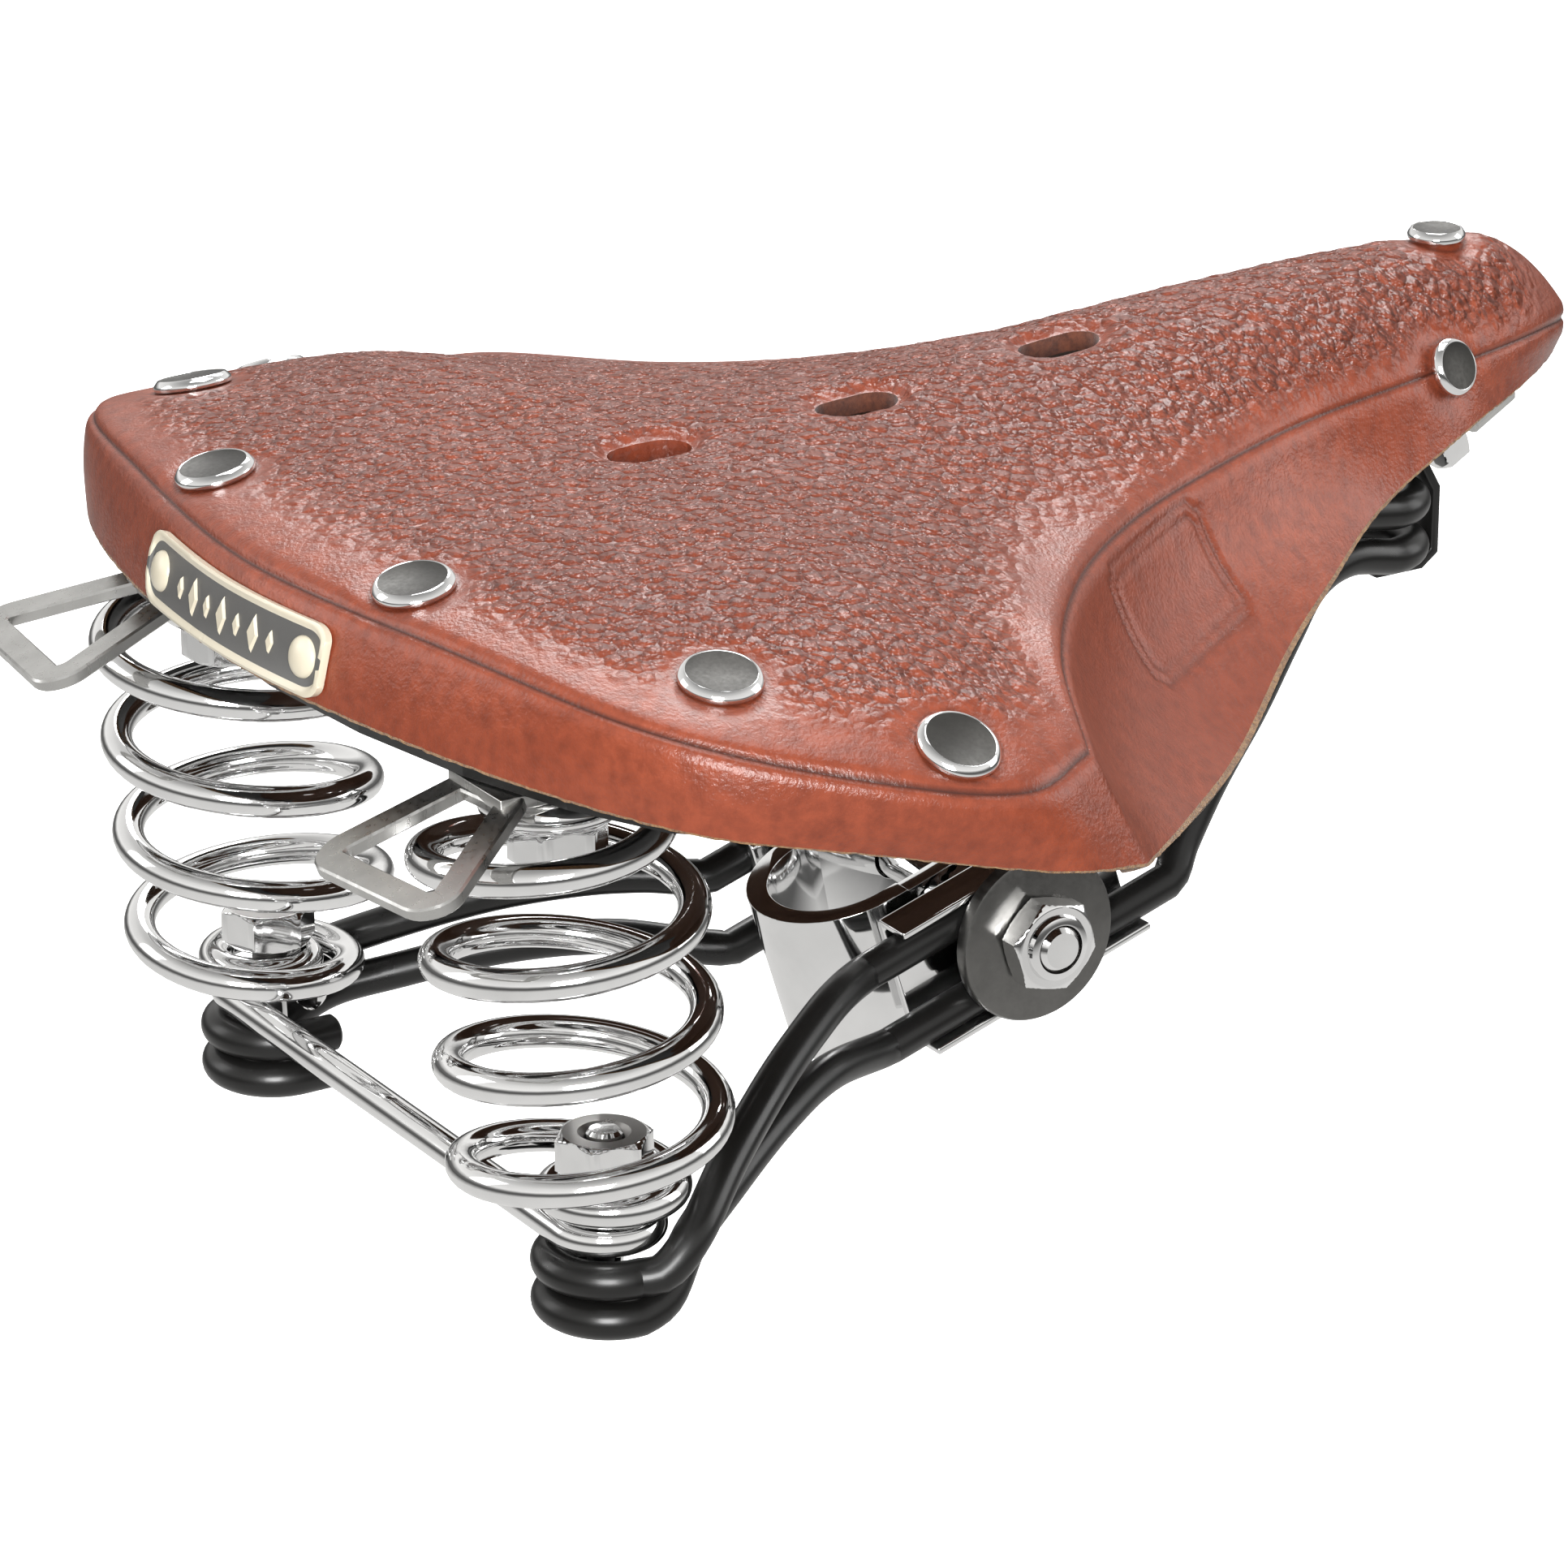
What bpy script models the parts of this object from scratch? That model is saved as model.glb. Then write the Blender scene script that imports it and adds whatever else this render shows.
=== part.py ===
"""Sprung leather bicycle saddle with a double-wire frame, coil springs and a seat-post clamp.

Dimensions are in millimetres and MM turns them into Blender's metres. +Y points to the nose,
+X to the rider's right, +Z up. The origin is the centre of the seat-post bore.
"""
import math

import bmesh
import bpy
from mathutils import Matrix, Vector

MM = 0.001
GAP = 0.3                       # between pieces that touch on the real saddle
SHARP = math.radians(35)        # edges sharper than this are shaded as edges

# seat-post clamp
RAIL_TILT = math.radians(17.7)  # the rails rise towards the nose, square to the bore
BORE_R = 11.25                  # for a 22.2 mm seat post
BAND_THICK = 3.3
BAND_HALF = 13.0
EAR_R = 11.0
BOLT_AHEAD = 15.0               # clamp bolt, ahead of the bore's axis
BOLT_ABOVE = 2.6                # clamp bolt, above the bore's centre
BOLT_R = 3.5
NUT_FLATS = 13.0
DISC_R = 13.3
WASHER_R = 10.5

# frame wires
WIRE_R = 2.8
RAIL_X = 22.5
RAIL_HALF_PITCH = 6.7           # each rail, from the clamp bolt's axis
RAIL_HALF = 26.0                # straight length each way from the bolt
EYE_R = 8.4
EYE_Z_UPPER, EYE_Z_LOWER = -14.8, -20.8
NOSE_LOOP_R = 7.5
NOSE_LOOP_Y = 92.3
NOSE_LOOP_Z_UPPER, NOSE_LOOP_Z_LOWER = 53.7, 46.4
BAR_R = 2.4
BAR_Z = -9.3
BAR_HOOK_R = 6.5

# springs, which lean back at the top
SPRING_R = 18.4                 # of the full coils, at the middle of the wire
SPRING_WIRE_R = 2.4
SPRING_EYE_R = 5.3              # at the wire's ends
SPRING_TURN_R = 10.2            # after one flat turn
SPRING_PITCH = 15.6
SPRING_START = -214.0           # degrees from +X towards +Y, where the wire leaves the flat foot
SPRING_FLAT = 426.0             # degrees of wire lying flat at each end
SPRING_FOOT = Vector((50.0, -74.6, -4.0))
SPRING_HEAD = Vector((48.4, -80.6, 55.1))
SPRING_BOLT_R = 2.6
SPRING_NUT_FLATS, SPRING_NUT_HIGH = 12.5, 5.8
SPRING_SHIFT = Vector((-0.8, -0.9, 0))  # of the full coils from the line between the bolts

# leather
LEATHER_THICK = 4.4
PLATE_THICK = 1.8
PLATE_GAP = 1.2                 # under the leather, which is faceted
FLANGE_LOW, FLANGE_HIGH = 60.1, 62.1
FLANGE_DEPTH = 24.0
FLANGE_CENTRE_Y = -45.0         # the bottom flange points at this place on the middle plane
RIVET_R = 6.0
NOSE_RIVET_R = 4.5
SHANK_R = 2.5
HOLE_R = 2.8
SLOT_LONG, SLOT_WIDE = 13.0, 8.0
SLOT_YS = (-36.6, -1.2, 34.5)

# nose
PIN_START = Vector((0, 101.7, 60.45))
PIN_TILT = math.radians(30)
PIN_R = 2.6
BOSS_R = 4.6
BOSS_LOW, BOSS_HIGH = 9.5, 17.5  # along the pin
SHACKLE_HALF = 2.8
SUSPENSION_AXIS = Vector((0, 97, 50))

FORWARD = Vector((0, math.cos(RAIL_TILT), math.sin(RAIL_TILT)))
UPWARD = Vector((0, -math.sin(RAIL_TILT), math.cos(RAIL_TILT)))
SIDEWAYS = Vector((1, 0, 0))
RISE = Vector((0, 0, 1))
CLAMP_BOLT = FORWARD * BOLT_AHEAD + UPWARD * BOLT_ABOVE
PIN_AXIS = Vector((0, math.cos(PIN_TILT), math.sin(PIN_TILT)))

# The leather's outline from tail to nose on the right side: the crease where the top meets the
# skirt, the lower edge below it, where the section starts on the centre line, the section's
# exponent (2 is a round ridge, 6 a flat top with a tight rim), and how far the skirt is hollowed.
OUTLINE = (
    # crease                 lower edge             centre y  exponent  hollow
    ((0, -103, 80),          (0, -106, 65.5),       -60,      4.0,      -0.6),
    ((49, -96, 79.8),        (49, -99.8, 65.4),     -58,      3.8,      -0.6),
    ((81.8, -85.8, 77),      (84.8, -83.8, 63),     -54,      3.4,      -0.8),
    ((98.2, -64.5, 71.2),    (97.2, -60.5, 58.8),   -49,      4.0,      -0.8),
    ((105, -42, 66.6),       (105.4, -36, 54),      -43,      3.8,      -0.4),
    ((99.3, -27.1, 67.8),    (102.3, -19.5, 50.4),  -37,      2.8,      0.0),
    ((81.2, -19, 74.4),      (87.3, -1.4, 48.6),    -31,      2.1,      3.0),
    ((59.4, -1.4, 75.7),     (68.6, 20.4, 47.8),    -14,      1.8,      4.0),
    ((44.6, 17.8, 76.7),     (50.7, 41.9, 53.9),    8,        1.8,      3.0),
    ((33.5, 40.5, 77.6),     (39.6, 57, 57.9),      30,       1.9,      1.5),
    ((25.7, 62.7, 78.6),     (28.7, 74, 63.4),      54,       2.4,      0.6),
    ((21, 88, 80),           (22, 94, 69.8),        82,       2.4,      0.0),
    ((12, 117, 80),          (10, 117.5, 73),       101,      2.4,      0.0),
    ((0, 130, 78),           (0, 127, 73.5),        104.5,    2.4,      0.0),
)
CORNER = 5                      # the outline's sharp rear corner
LAST = len(OUTLINE) - 1
CENTRE_LINE = ((-60, 84.5), (-36.6, 85.3), (-1.2, 86.4), (34.5, 89.8), (60, 92), (104.5, 94.3))

REAR_RIVETS = ((29.3, -91.8), (76.1, -71.2), (97, -47))
NOSE_TOP_RIVET = (0, 104.5)
NOSE_SIDE_RIVET = 11.18         # place along OUTLINE, on the crease
BADGE_RIVET_X = 21.0
BADGE_HALF = 25.6
BADGE_MIDDLE, BADGE_REACH = 1.58, 0.35   # down the skirt, from 1 at the crease to 2 at its edge

COLOURS = {
    "leather": ((0.36, 0.10, 0.055), 0.45, 0.0),
    "chrome": ((0.80, 0.80, 0.80), 0.12, 1.0),
    "steel": ((0.45, 0.45, 0.46), 0.35, 1.0),
    "enamel": ((0.012, 0.012, 0.012), 0.3, 0.0),
    "badge": ((0.10, 0.10, 0.11), 0.4, 0.6),
    "rivet": ((0.70, 0.68, 0.60), 0.35, 0.5),
}


# ---------------------------------------------------------------- helpers

def clear_scene():
    for item in list(bpy.data.objects):
        bpy.data.objects.remove(item, do_unlink=True)


def collection(name):
    made = bpy.data.collections.new(name)
    bpy.context.scene.collection.children.link(made)
    return made


def material(name):
    made = bpy.data.materials.get(name) or bpy.data.materials.new(name)
    made.use_nodes = True
    colour, roughness, metallic = COLOURS[name]
    shader = made.node_tree.nodes["Principled BSDF"]
    shader.inputs["Base Color"].default_value = (*colour, 1)
    shader.inputs["Roughness"].default_value = roughness
    shader.inputs["Metallic"].default_value = metallic
    return made


def add(name, data, finish):
    """An object in the saddle, or a hidden cutter if it has no finish."""
    made = bpy.data.objects.new(name, data)
    if finish:
        data.materials.append(material(finish))
        PARTS.objects.link(made)
    else:
        made.display_type = "WIRE"
        made.hide_render = True
        CUTTERS.objects.link(made)
    return made


def mesh_from(name, build):
    """A mesh that build(bm) fills in, in millimetres."""
    mesh = bpy.data.meshes.new(name)
    bm = bmesh.new()
    build(bm)
    bmesh.ops.scale(bm, vec=(MM, MM, MM), verts=bm.verts)
    bm.to_mesh(mesh)
    bm.free()
    mesh.shade_smooth()
    mesh.set_sharp_from_angle(angle=SHARP)
    return mesh


def frame_at(point, axis, side=None):
    """A matrix in metres that takes +Z to axis and the origin to point."""
    z = Vector(axis).normalized()
    x = Vector(side) if side else z.orthogonal()
    x = (x - z * x.dot(z)).normalized()
    turn = Matrix((x, z.cross(x), z)).transposed().to_4x4()
    return Matrix.Translation(Vector(point) * MM) @ turn


def cylinder(name, radius, low, high, point, axis, finish, sides=20, side=None):
    def build(bm):
        bmesh.ops.create_cone(bm, cap_ends=True, segments=sides, radius1=radius,
                              radius2=radius, depth=high - low,
                              matrix=Matrix.Translation((0, 0, (high + low) / 2)))

    made = add(name, mesh_from(name, build), finish)
    made.matrix_world = frame_at(point, axis, side)
    return made


def turned(name, profile, point, axis, finish, sides=20):
    """A turned piece from (radius, height) pairs that run from its top to its bottom."""
    def build(bm):
        verts = [bm.verts.new((r, 0, z)) for r, z in profile]
        for one, two in zip(verts, verts[1:]):
            bm.edges.new((one, two))

    made = add(name, mesh_from(name, build), finish)
    made.matrix_world = frame_at(point, axis)
    screw = made.modifiers.new("Turn", "SCREW")
    screw.steps = screw.render_steps = sides
    screw.use_merge_vertices = True
    screw.merge_threshold = 0.00001
    return made


def prism(name, outline, low, high, point, axis, finish, side=None):
    """A flat outline in (side, axis x side) raised from low to high along axis."""
    def build(bm):
        face = bm.faces.new([bm.verts.new((a, b, low)) for a, b in outline])
        raised = bmesh.ops.extrude_face_region(bm, geom=[face])["geom"]
        moved = [g for g in raised if isinstance(g, bmesh.types.BMVert)]
        bmesh.ops.translate(bm, verts=moved, vec=(0, 0, high - low))
        bmesh.ops.recalc_face_normals(bm, faces=bm.faces)

    made = add(name, mesh_from(name, build), finish)
    made.matrix_world = frame_at(point, axis, side)
    return made


def cut(target, tool, operation="DIFFERENCE"):
    step = target.modifiers.new(tool.name, "BOOLEAN")
    step.operation = operation
    step.solver = "EXACT"
    step.object = tool


def hex_nut(name, flats, high, hole, point, axis, finish):
    """A hexagonal nut whose lower face is at point."""
    made = cylinder(name, flats / math.sqrt(3), 0, high, point, axis, finish, 6)
    cut(made, cylinder(name + "_hole", hole, -1, high + 1, point, axis, None))
    return made


def wire(name, points, radius, finish):
    curve = bpy.data.curves.new(name, "CURVE")
    curve.dimensions = "3D"
    curve.bevel_depth = radius * MM
    curve.bevel_resolution = 2
    curve.use_fill_caps = True
    spline = curve.splines.new("POLY")
    spline.points.add(len(points) - 1)
    for spot, point in zip(spline.points, points):
        spot.co = (*(Vector(point) * MM), 1)
    return add(name, curve, finish)


def curve_value(a, b, c, d, t):
    """Catmull-Rom value between b and c."""
    return 0.5 * (2 * b + (c - a) * t + (2 * a - 5 * b + 4 * c - d) * t ** 2
                  + (3 * b - a - 3 * c + d) * t ** 3)


def smooth(points, steps=8):
    """Points on a curve through the given ones."""
    points = [Vector(p) for p in points]
    ends = [points[0] * 2 - points[1]] + points + [points[-1] * 2 - points[-2]]
    found = [curve_value(*four, k / steps) for four in zip(ends, ends[1:], ends[2:], ends[3:])
             for k in range(steps)]
    return found + [points[-1]]


def even(points, spacing):
    """The same path with points about spacing apart."""
    total = sum((b - a).length for a, b in zip(points, points[1:]))
    count = max(2, round(total / spacing))
    found, run, k = [points[0]], 0.0, 1
    for a, b in zip(points, points[1:]):
        length = (b - a).length
        while k < count and run + length >= total * k / count:
            found.append(a.lerp(b, (total * k / count - run) / length))
            k += 1
        run += length
    return found + [points[-1]]


def arc(centre, radius, start, end, steps):
    """Points round a vertical axis, with angles in degrees from +X towards +Y."""
    angles = [math.radians(start + (end - start) * k / steps) for k in range(steps + 1)]
    return [Vector(centre) + Vector((math.cos(a), math.sin(a), 0)) * radius for a in angles]


def flat_arc(centre, radius, start, end, steps):
    return [(p.x, p.y) for p in arc((*centre, 0), radius, start, end, steps)]


def mirrored(points):
    return [Vector((-p[0], p[1], p[2])) for p in points]


# ---------------------------------------------------------------- leather surface

def column_at(column, place):
    """A number from OUTLINE at a fractional place."""
    values = [row[column] for row in OUTLINE]
    values = [values[1]] + values + [values[-2]]
    k = min(int(place), LAST - 1)
    return curve_value(*values[k:k + 4], place - k)


def edge_at(column, place):
    """The crease or the lower edge, which both break at the rear corner."""
    rows = [Vector(row[column]) for row in OUTLINE]
    if place <= CORNER:
        rows, start = rows[:CORNER + 1], 0
    else:
        rows, start = rows[CORNER:], CORNER
    before, after = rows[0] * 2 - rows[1], rows[-1] * 2 - rows[-2]
    if start:
        after = mirrored([rows[-2]])[0]
    else:
        before = mirrored([rows[1]])[0]
    rows = [before] + rows + [after]
    k = min(int(place - start), len(rows) - 4)
    return curve_value(*rows[k:k + 4], place - start - k)


def centre_height(y):
    ys, zs = zip(*CENTRE_LINE)
    zs = (zs[0], *zs, zs[-1])
    y = min(max(y, ys[0]), ys[-1])
    k = max(i for i in range(len(ys) - 1) if ys[i] <= y)
    return curve_value(*zs[k:k + 4], (y - ys[k]) / (ys[k + 1] - ys[k]))


def leather_point(place, v):
    """The outer surface. place runs along OUTLINE; v is 0 on the centre line, 1 at the crease
    and 2 at the lower edge."""
    crease = edge_at(0, place)
    if v <= 1:
        centre = column_at(2, place)
        top = centre_height(centre)
        drop = v ** column_at(3, place)
        return Vector((v * crease.x, centre + v * (crease.y - centre), top + (crease.z - top) * drop))
    lower = edge_at(1, place)
    along = edge_at(0, min(place + 0.02, LAST)) - edge_at(0, max(place - 0.02, 0))
    inward = along.cross(lower - crease).normalized()
    return crease.lerp(lower, v - 1) + inward * column_at(4, place) * math.sin(math.pi * (v - 1))


def leather_normal(place, v):
    """The outward normal, from points close by on the same side of the crease."""
    least, most = (0, 1) if v <= 1 else (1.001, 2)
    low, high = max(v - 0.02, least), min(v + 0.02, most)
    along = leather_point(min(place + 0.02, LAST), v) - leather_point(max(place - 0.02, 0), v)
    across = leather_point(place, high) - leather_point(place, low)
    if place in (0, LAST):
        along = SIDEWAYS if place == 0 else -SIDEWAYS
    normal = across.cross(along)
    if v == 0:
        normal.x = 0
    return normal.normalized()


def inside_point(place, v, depth):
    """A surface inside the leather's outer one, whose corner lies inside the crease."""
    one, two = leather_normal(place, 1), leather_normal(place, 1.03)
    corner = depth * (one - two).length / (one + two).length
    crease = edge_at(0, place)
    if v <= 1:
        section = (leather_point(place, 0) - crease).xy
        along = (edge_at(0, min(place + 0.02, LAST)) - edge_at(0, max(place - 0.02, 0))).xy.normalized()
        width = abs(section.x * along.y - section.y * along.x)
        v_in = v * max(0.3, 1 - corner / width)
    else:
        height = (edge_at(1, place) - crease).length
        v_in = 2 - (2 - v) * max(0.3, 1 - corner / height)
    point = leather_point(place, v_in) - leather_normal(place, v_in) * depth
    point.x = max(point.x, 0.0)
    return point


def leather_at(x, y):
    """(place, v) of the point of the top surface above (x, y)."""
    if x == 0 and y >= OUTLINE[-1][2]:
        return LAST, (y - OUTLINE[-1][2]) / (OUTLINE[-1][0][1] - OUTLINE[-1][2])
    low, high = 0.0, float(LAST)
    for _ in range(40):
        place = (low + high) / 2
        centre, crease = column_at(2, place), edge_at(0, place)
        v = x / max(crease.x, 0.001)
        if centre + v * (crease.y - centre) < y:
            low = place
        else:
            high = place
    return place, x / crease.x


def skirt_at(x, v):
    """The rear skirt's place that is x from the middle."""
    low, high = 0.0, 2.0
    for _ in range(30):
        place = (low + high) / 2
        low, high = (place, high) if leather_point(place, v).x < x else (low, place)
    return place


def steps_between(low, high, per_station):
    count = max(1, round((high - low) * per_station))
    return [low + (high - low) * k / count for k in range(count + 1)]


def loft(name, sections, finish, closed=True, cap_first=False, cap_last=False):
    """A right half through sections of equally many points, mirrored in the middle plane."""
    def build(bm):
        rings = [[bm.verts.new((0 if abs(p.x) < 0.02 else p.x, p.y, p.z)) for p in row]
                 for row in sections]
        for one, two in zip(rings, rings[1:]):
            pairs = list(zip(one, one[1:], two[1:], two))
            if closed:
                pairs.append((one[-1], one[0], two[0], two[-1]))
            for four in pairs:
                bm.faces.new(four)
        for ring in (rings[0],) * cap_first + (rings[-1],) * cap_last:
            half = len(ring) // 2
            for k in range(half - 1):
                bm.faces.new((ring[k], ring[k + 1], ring[-k - 2], ring[-k - 1]))
        bmesh.ops.remove_doubles(bm, verts=bm.verts, dist=0.02)
        bmesh.ops.dissolve_degenerate(bm, dist=0.01, edges=bm.edges)
        in_plane = [face for face in bm.faces if all(abs(v.co.x) < 0.01 for v in face.verts)]
        bmesh.ops.delete(bm, geom=in_plane, context="FACES")
        bmesh.ops.recalc_face_normals(bm, faces=bm.faces)
        if bm.calc_volume(signed=True) < 0:
            bmesh.ops.reverse_faces(bm, faces=bm.faces)

    made = add(name, mesh_from(name, build), finish)
    mirror = made.modifiers.new("Both sides", "MIRROR")
    mirror.merge_threshold = 0.00005
    return made


# ---------------------------------------------------------------- leather and its plates

def make_leather():
    tops = (0, 0.28, 0.52, 0.72, 0.88, 1)
    skirts = (1.33, 1.67, 2)
    sections = []
    for place in steps_between(0, LAST, 2):
        outer = [leather_point(place, v) for v in tops + skirts]
        inner = [inside_point(place, v, LEATHER_THICK) for v in reversed(tops + skirts)]
        sections.append(outer + inner)
    leather = loft("leather_top", sections, "leather", closed=False)
    for number, y in enumerate(SLOT_YS):
        straight = (SLOT_LONG - SLOT_WIDE) / 2
        outline = (flat_arc((0, y + straight), SLOT_WIDE / 2, 0, 180, 8)
                   + flat_arc((0, y - straight), SLOT_WIDE / 2, 180, 360, 8))
        cut(leather, prism(f"slot_{number + 1}", outline, 70, 105, (0, 0, 0), RISE, None, SIDEWAYS))
    return leather


def make_cantle():
    """A channel inside the tail: top flange under the rivets, back wall, bottom flange."""
    near, far = LEATHER_THICK + PLATE_GAP, LEATHER_THICK + PLATE_GAP + PLATE_THICK
    sections = []
    for place in steps_between(0, 3.85, 2):
        crease, lower = edge_at(0, place), edge_at(1, place)
        wall_end = 1 + min(0.75, (crease.z - FLANGE_HIGH - 2.5) / (crease.z - lower.z))
        levels = (0.66, 0.77, 0.88, 1, (1 + wall_end) / 2, wall_end)
        outer = [inside_point(place, v, near) for v in levels]
        inner = [inside_point(place, v, far) for v in reversed(levels)]
        wall, wall_in = outer[-1], inner[0]
        inward = Vector((-wall.x, FLANGE_CENTRE_Y - wall.y, 0)).normalized()
        depth = FLANGE_DEPTH * min(1.0, 0.6 + 0.4 * place, (4.7 - place) / 2)
        foot = []
        for reach, height in ((1.0, FLANGE_LOW), (depth, FLANGE_LOW), (depth, FLANGE_HIGH)):
            foot.append(Vector((wall.x, wall.y, height)) + inward * reach)
        foot.append(Vector((wall_in.x, wall_in.y, FLANGE_HIGH)) + inward)
        sections.append(outer + foot + inner)
    return loft("cantle_plate", sections, "enamel", cap_last=True)


def make_nose_piece():
    near, far = LEATHER_THICK + PLATE_GAP, LEATHER_THICK + PLATE_GAP + PLATE_THICK
    sections = []
    for place in steps_between(10.8, 12.1, 3) + [LAST]:
        reach = min(1.45, max(0.97, 1.45 - 0.9 * (place - 11.5)))
        levels = (0, 0.4, 0.7, 0.9, reach)
        outer = [inside_point(place, v, near) for v in levels]
        inner = [inside_point(place, v, far) for v in reversed(levels)]
        sections.append(outer + inner)
    plate = loft("nose_piece", sections, "steel", closed=False, cap_first=True)
    lug = prism("nose_lug", ((111.8, 67), (115.6, 69), (115.6, 83.4), (111.8, 85)), -3, 3,
                (0, 0, 0), SIDEWAYS, None, (0, 1, 0))
    boss = cylinder("nose_boss", BOSS_R, BOSS_LOW, BOSS_HIGH, PIN_START, PIN_AXIS, None)
    bore = cylinder("nose_bore", PIN_R + GAP, BOSS_LOW - 6, BOSS_HIGH - 2, PIN_START, PIN_AXIS, None)
    cut(plate, lug, "UNION")
    cut(plate, boss, "UNION")
    cut(plate, bore)
    return plate


def make_rivet(name, point, normal, holed, head=RIVET_R, deep=6.3, finish="chrome"):
    """A flat-headed rivet, and its hole through each holed piece."""
    profile = ((0, 1.5), (head - 1.1, 1.5), (head, 0.6), (head - 0.3, GAP), (SHANK_R, GAP),
               (SHANK_R, -deep), (0, -deep))
    turned(name, profile, point, normal, finish)
    for piece in holed:
        cut(piece, cylinder(f"{name}_in_{piece.name}", HOLE_R, -deep - 4, 4, point, normal, None, 14,
                            SIDEWAYS))


def make_rivets(leather, cantle, nose):
    for number, (x, y) in enumerate(REAR_RIVETS):
        place, v = leather_at(x, y)
        point, normal = leather_point(place, v), leather_normal(place, v)
        for side, word in ((1, "right"), (-1, "left")):
            make_rivet(f"rear_rivet_{number + 1}_{word}", (point.x * side, point.y, point.z),
                       (normal.x * side, normal.y, normal.z), (leather, cantle))
    place, v = leather_at(*NOSE_TOP_RIVET)
    make_rivet("nose_rivet_top", leather_point(place, v), leather_normal(place, v), (leather, nose),
               NOSE_RIVET_R)
    point = edge_at(0, NOSE_SIDE_RIVET)
    normal = leather_normal(NOSE_SIDE_RIVET, 1) + leather_normal(NOSE_SIDE_RIVET, 1.05)
    point = point + normal.normalized() * GAP
    for side, word in ((1, "right"), (-1, "left")):
        make_rivet(f"nose_rivet_{word}", (point.x * side, point.y, point.z),
                   (normal.x * side, normal.y, normal.z), (leather, nose), NOSE_RIVET_R)


def make_badge(leather, cantle):
    """A plate that follows the back of the tail, with a domed rivet near each end."""
    middle, half, corner = BADGE_MIDDLE, BADGE_REACH, 0.18
    sections = []
    for k in range(11):
        x = BADGE_HALF * k / 10
        inset = max(0.0, (x - BADGE_HALF + 3.0) / 3.0)
        reach = half - corner * (1 - math.sqrt(max(0.0, 1 - inset ** 2)))
        vs = [middle + reach * t for t in (-1, -0.5, 0, 0.5, 1)]
        place = skirt_at(x, middle) if x else 0
        near = [leather_point(place, v) + leather_normal(place, v) * GAP for v in vs]
        far = [leather_point(place, v) + leather_normal(place, v) * (GAP + 1.3) for v in reversed(vs)]
        sections.append(near + far)
    badge = loft("badge_plate", sections, "badge", cap_last=True)
    place = skirt_at(BADGE_RIVET_X, middle)
    point, normal = leather_point(place, middle), leather_normal(place, middle)
    point = point + normal * (GAP + 1.3)
    profile = ((0, 2.6), (2.4, 2.0), (3.6, GAP), (1.6, GAP), (1.6, -8.2), (0, -8.2))
    for side, word in ((1, "right"), (-1, "left")):
        spot = (point.x * side, point.y, point.z)
        facing = (normal.x * side, normal.y, normal.z)
        turned(f"badge_rivet_{word}", profile, spot, facing, "rivet", 12)
        for piece in (badge, leather, cantle):
            cut(piece, cylinder(f"badge_hole_{word}_{piece.name}", 1.9, -12, 4, spot, facing, None, 12))


# ---------------------------------------------------------------- frame wires and springs

def rail_end(along, above):
    """A point of the right-hand rail, along and above the clamp bolt."""
    return CLAMP_BOLT + FORWARD * along + UPWARD * above + SIDEWAYS * RAIL_X


def make_wire(name, above, eye_z, rear, front, loop_z):
    eye = (SPRING_FOOT.x, SPRING_FOOT.y + 0.6, eye_z)
    hook = [Vector((eye[0] - EYE_R, eye[1] + 6, eye_z))] + arc(eye, EYE_R, 180, 360, 10)
    rail = [rail_end(-RAIL_HALF, above), rail_end(RAIL_HALF, above)]
    loop = arc((0, NOSE_LOOP_Y, loop_z), NOSE_LOOP_R, 0, 180, 10)
    rear_bend = even(smooth([hook[-1]] + [Vector(p) for p in rear] + [rail[0]]), 8)
    front_bend = even(smooth([rail[1]] + [Vector(p) for p in front] + [loop[0]]), 8)
    half = hook[:-1] + rear_bend + front_bend[:-1]
    return wire(name, half + loop + mirrored(reversed(half)), WIRE_R, "enamel")


def make_wires():
    make_wire("upper_wire", RAIL_HALF_PITCH, EYE_Z_UPPER,
              ((60, -70.6, -13.9), (59.2, -65.2, -9.4), (51.5, -54.9, -3.8), (42, -41.5, 1.7),
               (34, -30.1, 4.6), (28, -21.8, 5.6)),
              ((20.3, 40.8, 25.6), (16.9, 49.5, 33), (13.8, 57.8, 42), (11.2, 66, 50),
               (9.5, 74, 54.2), (8.2, 83, 54.9)), NOSE_LOOP_Z_UPPER)
    make_wire("lower_wire", -RAIL_HALF_PITCH, EYE_Z_LOWER,
              ((57.8, -69.3, -18.9), (53.5, -62.8, -13.4), (48, -53.8, -10.2), (39.5, -39.7, -6.2),
               (31, -25.5, -4.8)),
              ((20.2, 44.6, 13.3), (17.2, 52, 21.2), (14.6, 60.8, 30), (12.2, 68.7, 39.3),
               (10.2, 75, 45.8), (8.5, 83, 48)), NOSE_LOOP_Z_LOWER)
    hook = arc((SPRING_FOOT.x, SPRING_FOOT.y, BAR_Z), BAR_HOOK_R, 150, -90, 14)
    wire("cross_bar", hook + mirrored(reversed(hook)), BAR_R, "chrome")


def ease(share):
    share = min(max(share, 0.0), 1.0)
    return share * share * (3 - 2 * share)


def past(distance):
    """0 well below 0 and the distance well above it, rounded off in between."""
    return 0.5 * (distance + math.sqrt(distance ** 2 + 4))


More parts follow.
